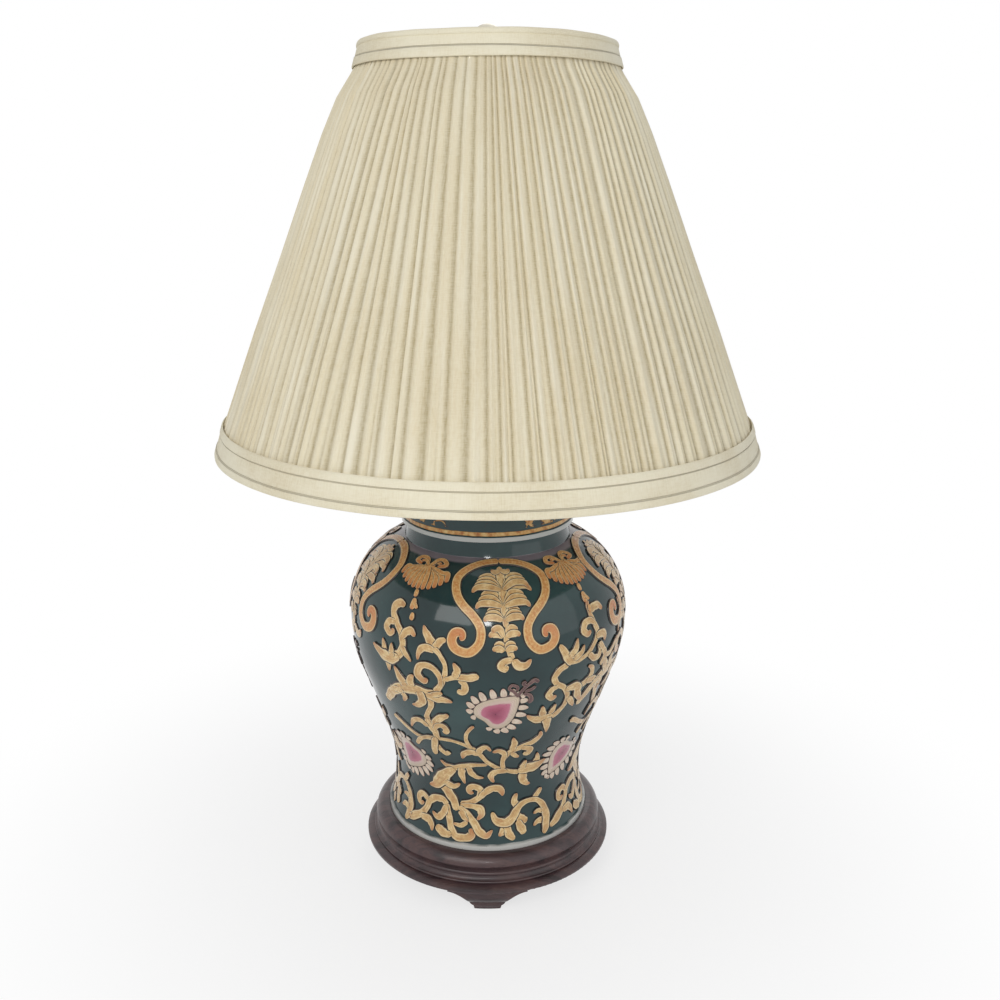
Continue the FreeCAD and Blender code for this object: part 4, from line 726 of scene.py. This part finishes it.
SCROLL_PANEL = (
    # the spray that springs from the band's left curl
    ((-20, 66, 5), (-21.6, 61, 6.6), (-23.8, 56, 4.8), (-25.3, 51.4, 0.6)),
    ((-20, 65, 5), (-18.4, 60.4, 5), (-15.8, 58, 2.6)),
    ((-20, 66.5, 4), (-23.8, 65, 5.2), (-26.4, 68, 4), (-27.4, 74.4, 0.6)),
    ((-20.4, 64.5, 4), (-17.8, 69, 2.8), (-16, 76, 2.6), (-16.6, 83.5, 3.4), (-18.4, 90, 3.8),
     (-20.8, 96, 5)),
    ((-18.4, 91.5, 2.6), (-18.2, 85.5, 3.2), (-20, 79.6, 4), (-23.8, 76.8, 4.4), (-27, 79.6, 5.2),
     (-27.6, 85.2, 5.6), (-25.2, 88.6, 4.8), (-23.8, 86.4, 2.4)),
    ((-16.4, 85.5, 3), (-13.8, 83.4, 3), (-11, 82.4, 4), (-7, 82.4, 5.6), (-3.2, 81, 4.4)),
    ((-12.8, 83, 4), (-11.4, 78, 4.8), (-12.8, 72.6, 1)),
    ((-10.6, 84, 4), (-8.6, 88.4, 4.4), (-9.4, 93.4, 5), (-11.8, 92.6, 3.4)),
    # the leaf cluster under it
    ((-20.8, 96.5, 4), (-26, 98, 7), (-31, 97.4, 10), (-36.4, 99, 9), (-42, 104, 7.6),
     (-46, 110, 7), (-50, 117, 5)),
    ((-34.6, 97, 8), (-37, 90.5, 6), (-39, 83.6, 0.8)),
    ((-31.8, 95.5, 7), (-31.6, 90, 5.4), (-29.8, 86.2, 1)),
    ((-28.4, 98, 7), (-27.4, 104.6, 6.6), (-30, 110, 4.8), (-33.4, 111.4, 1)),
    ((-25, 99.4, 5), (-21, 101, 6.6), (-17.4, 101.2, 5), (-14, 102.4, 0.8)),
    ((-23, 98.8, 4), (-19.6, 97, 4), (-18, 95.4, 1)),
    ((-25.4, 100, 5), (-23.6, 105, 4.6), (-24.6, 111, 3.2), (-26.8, 117, 3), (-27.6, 122, 5)),
    ((-44, 103.6, 5), (-39.4, 102.2, 5.4), (-36.6, 106, 4.6), (-38, 111, 1.4)),
    # the leaf and curl over the left flower
    ((-27.6, 121, 4), (-26.6, 127, 7.4), (-25, 133, 5.4), (-24.6, 138.4, 4)),
    ((-25, 127, 5), (-21.6, 119.4, 6), (-18.2, 116, 4), (-16.8, 114, 1)),
    ((-28, 129, 3.4), (-32, 124.8, 4.4), (-36, 127.4, 3.4), (-38.6, 134.4, 0.6)),
    ((-25, 131, 2.4), (-23.4, 126.6, 3.4), (-20.6, 125.4, 4.4), (-18.8, 129, 4.4),
     (-20.4, 132.2, 3.6)),
    ((-25.4, 138, 4), (-27, 145, 5), (-28.2, 155, 3.6)),
    ((-25.6, 145, 3.2), (-23.8, 150, 3.6), (-21.4, 152, 4), (-19.6, 149.8, 3)),
    # stems
    ((-50, 130.5, 4.6), (-45, 134.4, 3.6), (-40, 139, 3), (-34, 141.6, 2.6), (-27, 139.6, 2.8),
     (-21, 138.4, 2.4), (-15, 139.2, 2.2), (-10, 142, 2.6), (-6.4, 145.4, 3.4), (-3.6, 150, 3),
     (0, 157, 2.6), (5, 162.4, 3), (11, 166, 3.2), (18, 168.6, 4)),
    ((-25, 138.4, 2.6), (-30.4, 140, 2.8), (-35.4, 144, 3), (-38.8, 150.4, 3)),
    ((-7.6, 144.4, 2.6), (-9.6, 139, 2.2), (-10, 133, 2.1), (-8.6, 127.4, 2), (-6, 122.6, 2)),
    # the spray under the middle flower
    ((-4, 149.4, 4), (-8, 147.4, 5.2), (-11.6, 149.4, 4.8), (-13, 154.4, 0.8)),
    ((-4.4, 148.4, 3.6), (-3.4, 144.4, 4.6), (-0.6, 142, 3), (1.6, 146, 0.8)),
    ((8.4, 164, 2.8), (7.8, 156, 2.8), (8.6, 150, 3.6), (6, 146, 4), (2.4, 147, 1.2)),
    ((8.2, 156, 2.6), (10.8, 148.6, 3.8), (16, 144.8, 4.8), (22, 141.6, 4.8), (25.6, 137, 3.6),
     (25.4, 132.4, 0.8)),
    ((12, 147, 3.6), (13, 140.6, 4.6), (12, 134.4, 0.8)),
    ((17, 145, 3.6), (21.4, 147.2, 4.8), (21, 151.2, 4.4), (18.2, 151, 2.6)),
    ((12, 148.4, 2.4), (13.8, 151.4, 3.4), (16.2, 153.8, 1.2)),
    ((11, 166.4, 3.2), (6, 165.6, 4.6), (2.6, 168, 4.8), (2, 171.4, 3.6), (3.6, 175.4, 0.8)),
    ((17, 168, 5), (22, 166, 9.6), (27.6, 165.4, 8.6), (33, 161.6, 1)),
    ((19, 165, 5), (20, 160.6, 3), (20.8, 158, 0.8)),
    ((27, 163.6, 7), (27.4, 158.6, 4), (26.6, 153.2, 0.5)),
    ((20.4, 169, 6), (20.2, 174.6, 6.4), (22.4, 179, 4), (25.2, 180.4, 0.8)),
    # the leaves between the flowers at the waist
    ((0, 159.6, 2), (-6, 160, 3), (-12, 161.6, 4.6), (-18, 164.6, 4.6), (-23, 163.4, 3),
     (-26, 159.8, 0.6)),
    ((-10.4, 162.4, 3.6), (-8.8, 168, 4.4), (-5.6, 171.2, 2.6), (-2, 171.4, 0.6)),
    ((-14, 164, 5.4), (-14.4, 170.4, 4.6), (-12.8, 177.6, 0.6)),
    ((-18, 165.6, 5), (-23, 170.4, 8.4), (-27.2, 177, 11.6), (-31.6, 183, 7), (-36.2, 184.8, 0.8)),
    ((-25, 178.6, 6), (-20, 181, 4.6), (-15.6, 177.8, 0.8)),
    ((-27, 181, 8), (-23, 187.6, 8), (-19.6, 194, 6), (-18.6, 200, 5)),
    ((-16, 194, 3.4), (-9, 191.6, 3.8), (-4.6, 187.4, 4.6), (-4, 182.2, 4.8), (-7.4, 179.4, 5),
     (-10.6, 181.4, 4.6), (-10, 184.6, 3), (-8.2, 184, 1.6)),
    ((-4.4, 188.4, 3.4), (-1, 183.4, 5), (3.6, 180.4, 5.8), (7.6, 182, 5.4), (8.8, 187, 0.8)),
    ((-16, 195, 3), (-9, 195, 3.8), (-4.4, 196.6, 5.6), (-3.6, 201, 4.4), (-6, 205, 0.8)),
    # the bottom row
    ((-17, 196.6, 4), (-12.6, 200, 4), (-8.4, 206, 5), (-4.8, 213, 6), (-0.6, 216, 4.6),
     (2.8, 212, 0.6)),
    ((-15.6, 199, 5), (-13.6, 203.6, 4.4), (-11, 206.8, 0.8)),
    ((-11.6, 207, 2.6), (-15.6, 210, 3), (-20.2, 209.4, 0.8)),
    ((-25, 196, 4), (-23.2, 204, 4.6), (-21.6, 212, 5), (-18.6, 218, 5.6), (-13, 218.6, 5.6),
     (-9, 216, 6), (-10, 211.6, 2)),
    ((-24.6, 197.6, 4), (-27.2, 204.6, 5), (-30.6, 208, 4.4), (-34.2, 205, 0.8)),
    ((-24.6, 197, 4), (-26.8, 194, 5), (-31.6, 194, 5.6), (-36, 197.6, 5), (-38.4, 203.4, 4.6),
     (-41.4, 209, 5.4), (-48, 214.6, 6.4), (-54, 218, 3)),
    ((-37.8, 198, 3.6), (-41, 195, 4.4), (-44.6, 196.8, 4.8), (-45, 201, 4.2), (-42.6, 202.4, 3),
     (-41.4, 200.6, 1.6)),
    ((-42.4, 212, 4.6), (-37, 211.6, 6), (-34.2, 214.6, 4.6), (-33.2, 219, 1)),
    ((-30.6, 214, 4), (-27.6, 216.4, 7), (-24, 218, 6), (-21, 217, 3)),
    ((2.8, 199, 1.6), (4.4, 204.4, 5), (9, 207.4, 7), (13.6, 205.6, 7), (16.6, 200.4, 6),
     (20, 195.4, 4.4), (26, 193.6, 3.4), (31, 195.6, 3.6), (34.6, 200.6, 4.6), (36.4, 208, 6.4),
     (35.6, 215.6, 6), (33.4, 221, 3)),
    ((17.4, 197, 4.6), (15.8, 191.4, 4.4), (17.4, 186.4, 1.4)),
    ((28, 194, 3.4), (31, 190, 4), (33.4, 186.6, 2.4)),
    ((17, 203, 5), (20.6, 206.6, 6), (23.6, 208.4, 4)),
    ((12, 208, 4), (9.2, 213, 5.6), (6.4, 216.6, 1.2)),
    ((11, 209, 4), (12.4, 216, 6), (15.4, 219.6, 3)),
    ((17.6, 207, 4), (19.8, 213, 6.4), (21.4, 217, 4)),
    ((36, 205.4, 3.6), (31.4, 203.4, 3), (27.8, 204.6, 0.8)),
    ((35, 211.6, 4.6), (31, 211, 4), (27.4, 213.4, 0.8)),
)

RIGHT_SPRAY = (
    ((28.2, 64.6, 2.4), (30.6, 71, 5.4), (33, 77, 6.6), (34.6, 78.6, 4)),
    ((33, 75, 6), (35.6, 70.4, 5), (36.6, 63.4, 0.5)),
    ((35, 77, 5), (38.6, 74, 4), (40, 69.2, 0.5)),
    ((33, 78.6, 4), (38, 79, 3), (43, 76, 3.2), (46.4, 70, 3.8), (47.8, 64.6, 4), (46.4, 58, 3.6),
     (45, 52, 3.2), (44.6, 46.6, 3), (45.2, 42.4, 2)),
    ((45, 50, 3.6), (47.2, 48, 5.4), (50.6, 48, 5), (52.8, 51.4, 2)),
    ((46.8, 58.4, 2.6), (44, 55, 4.2), (41, 56, 5), (40, 60, 5), (42, 63, 4.2), (43.8, 61.6, 2.2)),
    ((47, 67, 4.4), (50, 66.4, 5.8), (52.4, 68.4, 5), (52.6, 73, 1)),
    ((43, 77, 4), (46, 81.4, 4.6), (49, 82, 4.8), (50, 78, 4), (49, 72, 3.6)),
    ((49, 72, 3.6), (52, 78, 4), (54, 84, 4.6), (51.4, 90, 4.6)),
    ((54, 84, 3.6), (58, 84.8, 4), (61.4, 81, 4), (64.6, 76.4, 2)),
    ((32.6, 79.4, 5), (28.8, 82.4, 4.6), (26.8, 87, 4.4), (28, 92, 4), (32, 97, 3.6),
     (34.6, 104, 3.4), (34.8, 111, 3.8), (32.6, 117, 4.2), (29, 121, 5.4)),
    ((29.6, 94.4, 2.6), (26.4, 96, 4.2), (25.2, 100, 5), (27, 103.2, 4.4), (28.8, 101.8, 2.4)),
    ((29.6, 120, 7), (24, 120.6, 8), (19.4, 118.4, 4.4), (16.8, 114.6, 0.5)),
    ((24.4, 118, 6), (23.8, 113, 4.2), (23.4, 108.6, 0.5)),
    ((28, 117, 5), (29, 112.6, 3.2), (29.6, 109.2, 0.5)),
    ((26.6, 121, 8), (27.8, 127.4, 5), (28.4, 134.4, 0.5)),
    ((33, 99, 4), (36.6, 98, 6.4), (39.4, 100, 7), (40, 105, 6.4), (42, 110, 4), (43.8, 113, 0.8)),
    ((39.6, 100.4, 5), (44.6, 98, 5.6), (46.8, 93.4, 4.6), (46, 88.6, 3.4), (43.6, 86.4, 1)),
    ((44, 98, 5), (48.8, 99.4, 5.4), (52, 104, 5.4), (54, 110.4, 4.8), (56, 118, 4.8),
     (58, 126, 4)),
    ((35.4, 106.6, 4), (38, 111.4, 4.4), (40.2, 116.6, 0.8)),
)

PANEL_TURNS = (0.0, 92.5, 181.5, 271.0)
FRONT_PANEL = 0.0
RIGHT_SPRAY_TURNS = (0.0, 92.5, 181.5)

# a flower: its notch and its tip, on the jar's flat drawing
MIDDLE_FLOWER = ((-3.6, 121.4), (11.6, 98.8))
SIDE_FLOWER = ((-40.4, 152.4), (-53.6, 176.6))
PETALS = 18
HEART_GROWTH = 1.08


class Flower:
    """A heart with a rim of small petals, drawn between its notch and its tip."""

    def __init__(self, notch, tip, turn=0.0):
        self.turn = turn
        self.middle = ((notch[0] + tip[0]) / 2, (notch[1] + tip[1]) / 2)
        self.degree = math.radians(1.0) * jar_side(self.middle[1])[0]
        run, drop = (tip[0] - notch[0]) * self.degree, tip[1] - notch[1]
        self.length = math.hypot(run, drop)
        self.ahead = (run / self.length, drop / self.length)

    def chart(self, forward, aside):
        """Turn and distance down, from millimetres towards the tip and to its right."""
        ahead, drop = self.ahead
        return (self.middle[0] + (forward * ahead - aside * drop) / self.degree,
                self.middle[1] + forward * drop + aside * ahead)

    def heart(self, angle):
        """The heart's outline: millimetres towards the tip and aside, round its middle."""
        half = self.length / 2 * HEART_GROWTH
        side = math.sin(angle)
        forward = -math.cos(angle)
        wide = half * 0.80 * side * (1 - 0.22 * max(0.0, forward) ** 2) * (1 - 0.30 * forward)
        point = forward if forward > 0 else forward * 0.86 + 0.16 * math.exp(-(side / 0.34) ** 2)
        return half * (point + 0.10 * max(0.0, forward) ** 6), wide

    def disc(self, name):
        """The domed heart; its drawing coordinates run round it and out from its middle."""
        def place(u, v):
            forward, aside = self.heart(2 * math.pi * u)
            reach = 0.02 + 0.98 * v
            dome = 1.0 - 0.35 * v * v if v < 0.93 else 0.3 if v < 0.99 else -0.2
            where, down = self.chart(forward * reach - self.length * 0.05 * (1 - reach),
                                     aside * reach)
            return on_jar(self.turn + where, down, dome * 0.9)
        return faced_outwards(shaped_grid(name, 56, 14, place))

    def petals(self, drawing):
        """Small pointed petals round the heart, leaning back from its tip."""
        for i in range(PETALS):
            angle = 2 * math.pi * (i + 1.1) / (PETALS + 1.2)
            forward, aside = self.heart(angle)
            lean = math.copysign(1.0, aside) if abs(aside) > 0.5 else 0.0
            side = math.sin(angle)
            out = (-math.cos(angle) * 0.45 + 0.42 * abs(side), side * 0.95)
            size = 5.6 if abs(side) > 0.3 else 4.8
            marks = []
            for reach, width in ((-0.1, 3.4), (0.35, 4.2), (0.8, 3.0), (1.15, 0.4)):
                bend = 0.25 * reach * reach * lean
                marks.append((*self.chart(forward + out[0] * size * reach - abs(bend),
                                          aside + out[1] * size * reach + bend), width))
            drawing.stroke(marks, self.turn, relief=0.4)


FLOWER_CREST = (
    ((12.2, 98, 1.2), (10.4, 93.6, 1.2), (8.4, 91, 1.2), (9.4, 88.4, 1.2), (11.6, 90, 1.2),
     (11.4, 93, 1.0)),
    ((12, 97, 1.4), (14, 92, 1.5), (16.6, 88, 1.8), (18.4, 86.2, 2.4), (20, 88, 1.6)),
    ((14.4, 94, 1.2), (17.4, 92.6, 1.5), (19, 90.6, 1.0)),
    ((14, 95.4, 1.2), (16.8, 97.4, 2.0), (17.6, 101.6, 2.2), (16.4, 103.4, 1.0)),
    ((15.6, 90, 1.0), (13.8, 87.8, 1.6), (15, 86.2, 1.0)),
)


# ---- enamels --------------------------------------------------------------------------------


def enamel(name, low, middle, high, rim, tips, grain=190.0):
    """Raised enamel: mottled colour with fine veins, a pale rim and a dark outline."""
    coat = Finish(name, Specular_IOR_Level=0.4, Coat_Weight=0.25, Coat_Roughness=0.1)
    across = coat.parts(coat.drawn())[1]
    side = abs(across - 0.5) * 2.0
    mottle = coat.noise(coat.places(), grain, 4.0, 0.65)
    veins = coat.noise(coat.drawn((3.0, 22.0, 1.0)), 1.0, 3.0, 0.6, 0.4)
    blush = coat.attribute("blush") + mottle * 0.8 - 0.4
    colour = coat.ramp(mottle, (0.32, low), (0.50, middle), (0.68, high))
    colour = coat.blend(blush.between(0.25, 0.9) * 0.75, colour, tips)
    lines = (across * 44.0 + mottle * 3.0).sine().between(0.55, 0.95)
    colour = coat.blend(veins.between(0.56, 0.66) * 0.55, colour, tips)
    colour = coat.blend(lines * veins.between(0.40, 0.55) * 0.6, colour, tips)
    colour = coat.blend(side.between(0.34, 0.42) * 0.8, colour, rim)
    colour = coat.blend(side.between(0.46, 0.55), colour, paint(52, 34, 27))
    coat.feed(Base_Color=colour, Roughness=mottle * 0.2 + 0.16,
              Normal=coat.relief(veins, 0.12, coat.relief(mottle, 0.1)))
    return coat.material


def heart_enamel():
    """Rose pink in the heart of the flower, pale and finely lined towards its edge."""
    coat = Finish("rose_enamel", Specular_IOR_Level=0.4, Coat_Weight=0.4, Coat_Roughness=0.08)
    reach = coat.parts(coat.drawn())[1]
    wash = coat.noise(coat.places(), 130.0, 4.0, 0.6)
    shade = reach + wash * 0.22 - 0.11
    lines = (reach * 95.0).sine()
    colour = coat.ramp(shade, (0.0, paint(150, 62, 92)), (0.30, paint(176, 84, 112)),
                       (0.56, paint(196, 112, 136)), (0.64, paint(224, 198, 186)),
                       (0.82, paint(214, 196, 172)))
    colour = coat.blend(lines.between(0.3, 0.9) * reach.between(0.5, 0.6) * 0.35, colour,
                        paint(150, 110, 96))
    colour = coat.blend(reach.between(0.90, 0.94), colour, paint(74, 44, 42))
    coat.feed(Base_Color=colour, Roughness=wash * 0.15 + 0.14,
              Normal=coat.relief(lines, 0.08, coat.relief(wash, 0.12)))
    return coat.material


def make_ornament():
    ochre = enamel("ochre_enamel", paint(184, 142, 92), paint(212, 178, 122),
                   paint(230, 204, 152), paint(232, 214, 172), paint(180, 106, 64))
    stippled = enamel("stippled_ochre_enamel", paint(196, 128, 74), paint(210, 160, 98),
                      paint(220, 182, 120), paint(228, 206, 154), paint(190, 104, 58), 620.0)
    cream = enamel("cream_enamel", paint(206, 182, 160), paint(218, 200, 178),
                   paint(226, 212, 192), paint(224, 208, 186), paint(196, 146, 132))
    plum = enamel("plum_enamel", paint(88, 60, 60), paint(104, 74, 72), paint(134, 102, 94),
                  paint(172, 142, 130), paint(78, 46, 50))

    bands = Drawing("jar_ruyi_bands", stippled)
    palmettes = Drawing("jar_palmettes", ochre)
    for turn in RUYI_PLACES:
        for flip in (False, True):
            bands.stroke(RUYI_BAND, turn, flip)
        for marks in (*palmette_lobes(), *PALMETTE_STEM):
            palmettes.stroke(marks, turn, relief=0.65)
    bands.joined()
    palmettes.joined()

    shells = Drawing("jar_shells", stippled)
    for turn in SHELL_PLACES:
        for i in range(SHELL_RIBS):
            lean = (i - (SHELL_RIBS - 1) / 2) / ((SHELL_RIBS - 1) / 2)
            foot = 30.5 - 7.5 * lean * lean
            shells.stroke(((lean * 3.4, 13.5, 1.6), (lean * 9.2, 16.5 + 2 * (1 - abs(lean)), 2.6),
                           (lean * 12.4, foot - 6, 3.2), (lean * 12.8, foot, 2.4)), turn)
        for marks in SHELL_BOW + SHELL_TASSEL:
            shells.stroke(marks, turn)
    shells.joined()

    scrolls = Drawing("jar_scrolls", ochre)
    for turn in PANEL_TURNS:
        for marks in SCROLL_PANEL:
            scrolls.stroke(marks, turn, frill=0.07)
    for turn in RIGHT_SPRAY_TURNS:
        for marks in RIGHT_SPRAY:
            scrolls.stroke(marks, turn, frill=0.07)
    for marks in UPPER_LEFT_SPRAY:
        scrolls.stroke(marks, FRONT_PANEL, frill=0.07)
    scrolls.joined()

    petals = Drawing("jar_petals", cream)
    crests = Drawing("jar_crests", plum)
    hearts = Drawing("jar_hearts", heart_enamel())
    for turn in PANEL_TURNS:
        for notch, tip in (MIDDLE_FLOWER, SIDE_FLOWER):
            flower = Flower(notch, tip, turn)
            flower.petals(petals)
            hearts.strokes.append(flower.disc("jar_hearts"))
        for marks in FLOWER_CREST:
            crests.stroke(marks, turn)
    petals.joined()
    crests.joined()
    hearts.joined()


# ---- metals, plastics and the rest ------------------------------------------------------------


def metal(name, bright, dull, roughness, scale=40.0):
    """Bare or plated metal with handling marks: patchy tarnish and fine scratches."""
    plate = Finish(name, Metallic=1.0)
    patches = plate.noise(plate.places(), scale, 4.0)
    scratches = plate.noise(plate.places((1.0, 1.0, 14.0)), 160.0, 2.0)
    colour = plate.blend(patches.between(0.42, 0.70), bright, dull)
    plate.feed(Base_Color=colour, Roughness=patches * 0.22 + scratches * 0.1 + (roughness - 0.16),
               Normal=plate.relief(scratches, 0.02))
    return plate.material


def moulded(name, colour, second, roughness, scale=60.0, depth=0.04, **constants):
    """Moulded plastic, paper, rubber or paint: a faint mottle and a fine skin."""
    skin = Finish(name, **constants)
    mottle = skin.noise(skin.places(), scale, 4.0)
    pits = skin.noise(skin.places(), scale * 14, 2.0)
    skin.feed(Base_Color=skin.blend(mottle.between(0.35, 0.68), colour, second),
              Roughness=mottle * 0.14 + pits * 0.08 + (roughness - 0.11),
              Normal=skin.relief(pits, depth))
    return skin.material


def dress_frame():
    dress(rosewood(), "wooden_stand", "foot_front", "foot_right", "foot_back", "foot_left")
    dress(jar_porcelain(), "jar_body")
    dress(lid_porcelain(), "jar_lid")
    brass = metal("lacquered_brass", paint(222, 184, 110), paint(176, 132, 66), 0.24)
    dress(brass, "vase_cap", "brass_neck", "harp_saddle", "harp", "harp_stud", "sleeve_left",
          "sleeve_right", "socket_cap", "socket_shell", "terminal_screws", "centre_contact",
          "switch_shaft")
    dress(metal("pale_plated_finial", paint(226, 221, 206), paint(198, 192, 176), 0.42), "finial")
    dress(metal("zinc_plate", paint(190, 192, 194), paint(140, 142, 146), 0.42),
          "lamp_pipe", "bottom_washer", "bottom_nut")
    dress(metal("bright_aluminium", paint(212, 212, 212), paint(170, 170, 172), 0.30, 80.0),
          "screw_shell", "bulb_base")
    dress(moulded("black_bushing", paint(40, 38, 36), paint(54, 50, 47), 0.5), "cord_bushing")
    dress(moulded("soft_rubber", paint(34, 33, 33), paint(50, 48, 46), 0.75), "lid_gasket")
    dress(moulded("fibre_paper", paint(92, 74, 56), paint(118, 97, 74), 0.85, 120.0, 0.1),
          "socket_sleeve")
    dress(moulded("phenolic_block", paint(44, 36, 34), paint(62, 50, 46), 0.5), "socket_block")
    dress(moulded("knob_plastic", paint(30, 27, 26), paint(44, 39, 37), 0.28), "switch_knob")
    dress(moulded("soft_white_bulb", paint(240, 239, 234), paint(230, 228, 221), 0.22, 30.0,
                  0.01, Transmission_Weight=0.25, Coat_Weight=0.5, Coat_Roughness=0.05),
          "bulb_glass")
    dress(moulded("white_shade_backing", paint(232, 227, 215), paint(220, 213, 197), 0.45,
                  18.0, 0.03), "shade_liner", "shade_cover", "bottom_trim", "top_trim")
    dress(moulded("white_painted_wire", paint(226, 223, 214), paint(206, 200, 186), 0.42,
                  90.0, 0.05), "bottom_ring", "top_ring", "fitter_washer", "fitter_arms")


# ---- studio ---------------------------------------------------------------------------------


def show_plain(tree, shown, lit):
    """Mixes what the camera and reflections see with what lights the lamp."""
    path = tree.nodes.new("ShaderNodeLightPath")
    share = path.outputs["Is Camera Ray"]
    for other in ("Is Glossy Ray", "Is Transmission Ray"):
        either = tree.nodes.new("ShaderNodeMath")
        either.operation = "MAXIMUM"
        tree.links.new(share, either.inputs[0])
        tree.links.new(path.outputs[other], either.inputs[1])
        share = either.outputs[0]
    mix = tree.nodes.new("ShaderNodeMixShader")
    tree.links.new(share, mix.inputs[0])
    tree.links.new(lit.outputs[0], mix.inputs[1])
    tree.links.new(shown.outputs[0], mix.inputs[2])
    return mix


def backdrop():
    world = bpy.data.worlds.new("studio")
    world.use_nodes = True
    tree = world.node_tree
    tree.nodes.clear()
    output = tree.nodes.new("ShaderNodeOutputWorld")
    shown = tree.nodes.new("ShaderNodeBackground")
    shown.inputs["Color"].default_value = (1, 1, 1, 1)
    lit = tree.nodes.new("ShaderNodeBackground")
    lit.inputs["Color"].default_value = (0.95, 0.97, 1.0, 1)
    lit.inputs["Strength"].default_value = 0.5
    mix = show_plain(tree, shown, lit)
    tree.links.new(mix.outputs[0], output.inputs["Surface"])
    bpy.context.scene.world = world


def studio_floor():
    nothing_selected()
    bpy.ops.mesh.primitive_circle_add(vertices=96, radius=60.0, fill_type="NGON",
                                      location=(0, 0, 0))
    floor = bpy.context.object
    floor.name = "studio_floor"
    paper = Finish("studio_paper", Roughness=0.95, Specular_IOR_Level=0.1)
    mottle = paper.noise(paper.places(), 3.0, 2.0)
    colour = paper.blend(mottle, paint(246, 246, 246), paint(240, 240, 240))
    paper.feed(Base_Color=colour)
    tree = paper.tree
    glow = tree.nodes.new("ShaderNodeEmission")
    share = tree.nodes.new("ShaderNodeMixShader")
    away = paper.node("ShaderNodeVectorMath", {"operation": "LENGTH"}, {0: paper.places()}, 1)
    glowing = away.between(0.10, 0.45) * 0.30 + 0.70
    tree.links.new(glowing.socket, share.inputs[0])
    tree.links.new(paper.surface.outputs[0], share.inputs[1])
    tree.links.new(glow.outputs[0], share.inputs[2])
    mix = show_plain(tree, share, paper.surface)
    tree.links.new(mix.outputs[0], tree.nodes["Material Output"].inputs["Surface"])
    floor.data.materials.append(paper.material)


def area_light(name, power, size, location, target, colour=(1, 1, 1)):
    nothing_selected()
    bpy.ops.object.light_add(type="AREA", location=location)
    light = bpy.context.object
    light.name = name
    light.data.energy = power
    light.data.size = size
    light.data.color = colour
    aim = Vector(target) - Vector(location)
    light.rotation_euler = aim.to_track_quat("-Z", "Y").to_euler()


def camera():
    nothing_selected()
    bpy.ops.object.camera_add(location=(0.0, -0.7123, 0.4730),
                              rotation=(math.radians(90 - 16.36), 0.0, 0.0))
    eye = bpy.context.object
    eye.data.sensor_width = 36.0
    eye.data.lens = 39.33
    eye.data.shift_x = 0.0125
    bpy.context.scene.camera = eye


def studio():
    backdrop()
    studio_floor()
    area_light("key", 8.0, 0.9, (-0.7, -1.3, 1.2), (0, 0, 0.3), (1.0, 0.985, 0.96))
    area_light("fill", 3.5, 1.4, (1.4, -1.0, 0.7), (0, 0, 0.25))
    area_light("back", 3.0, 1.0, (0.3, 1.4, 1.3), (0, 0, 0.3))
    area_light("flash", 0.7, 0.10, (0.0, -0.80, 0.52), (0, 0, 0.3))
    camera()
    bpy.context.scene.view_settings.view_transform = "Standard"


studio()
dress_frame()
make_shade()
make_ornament()
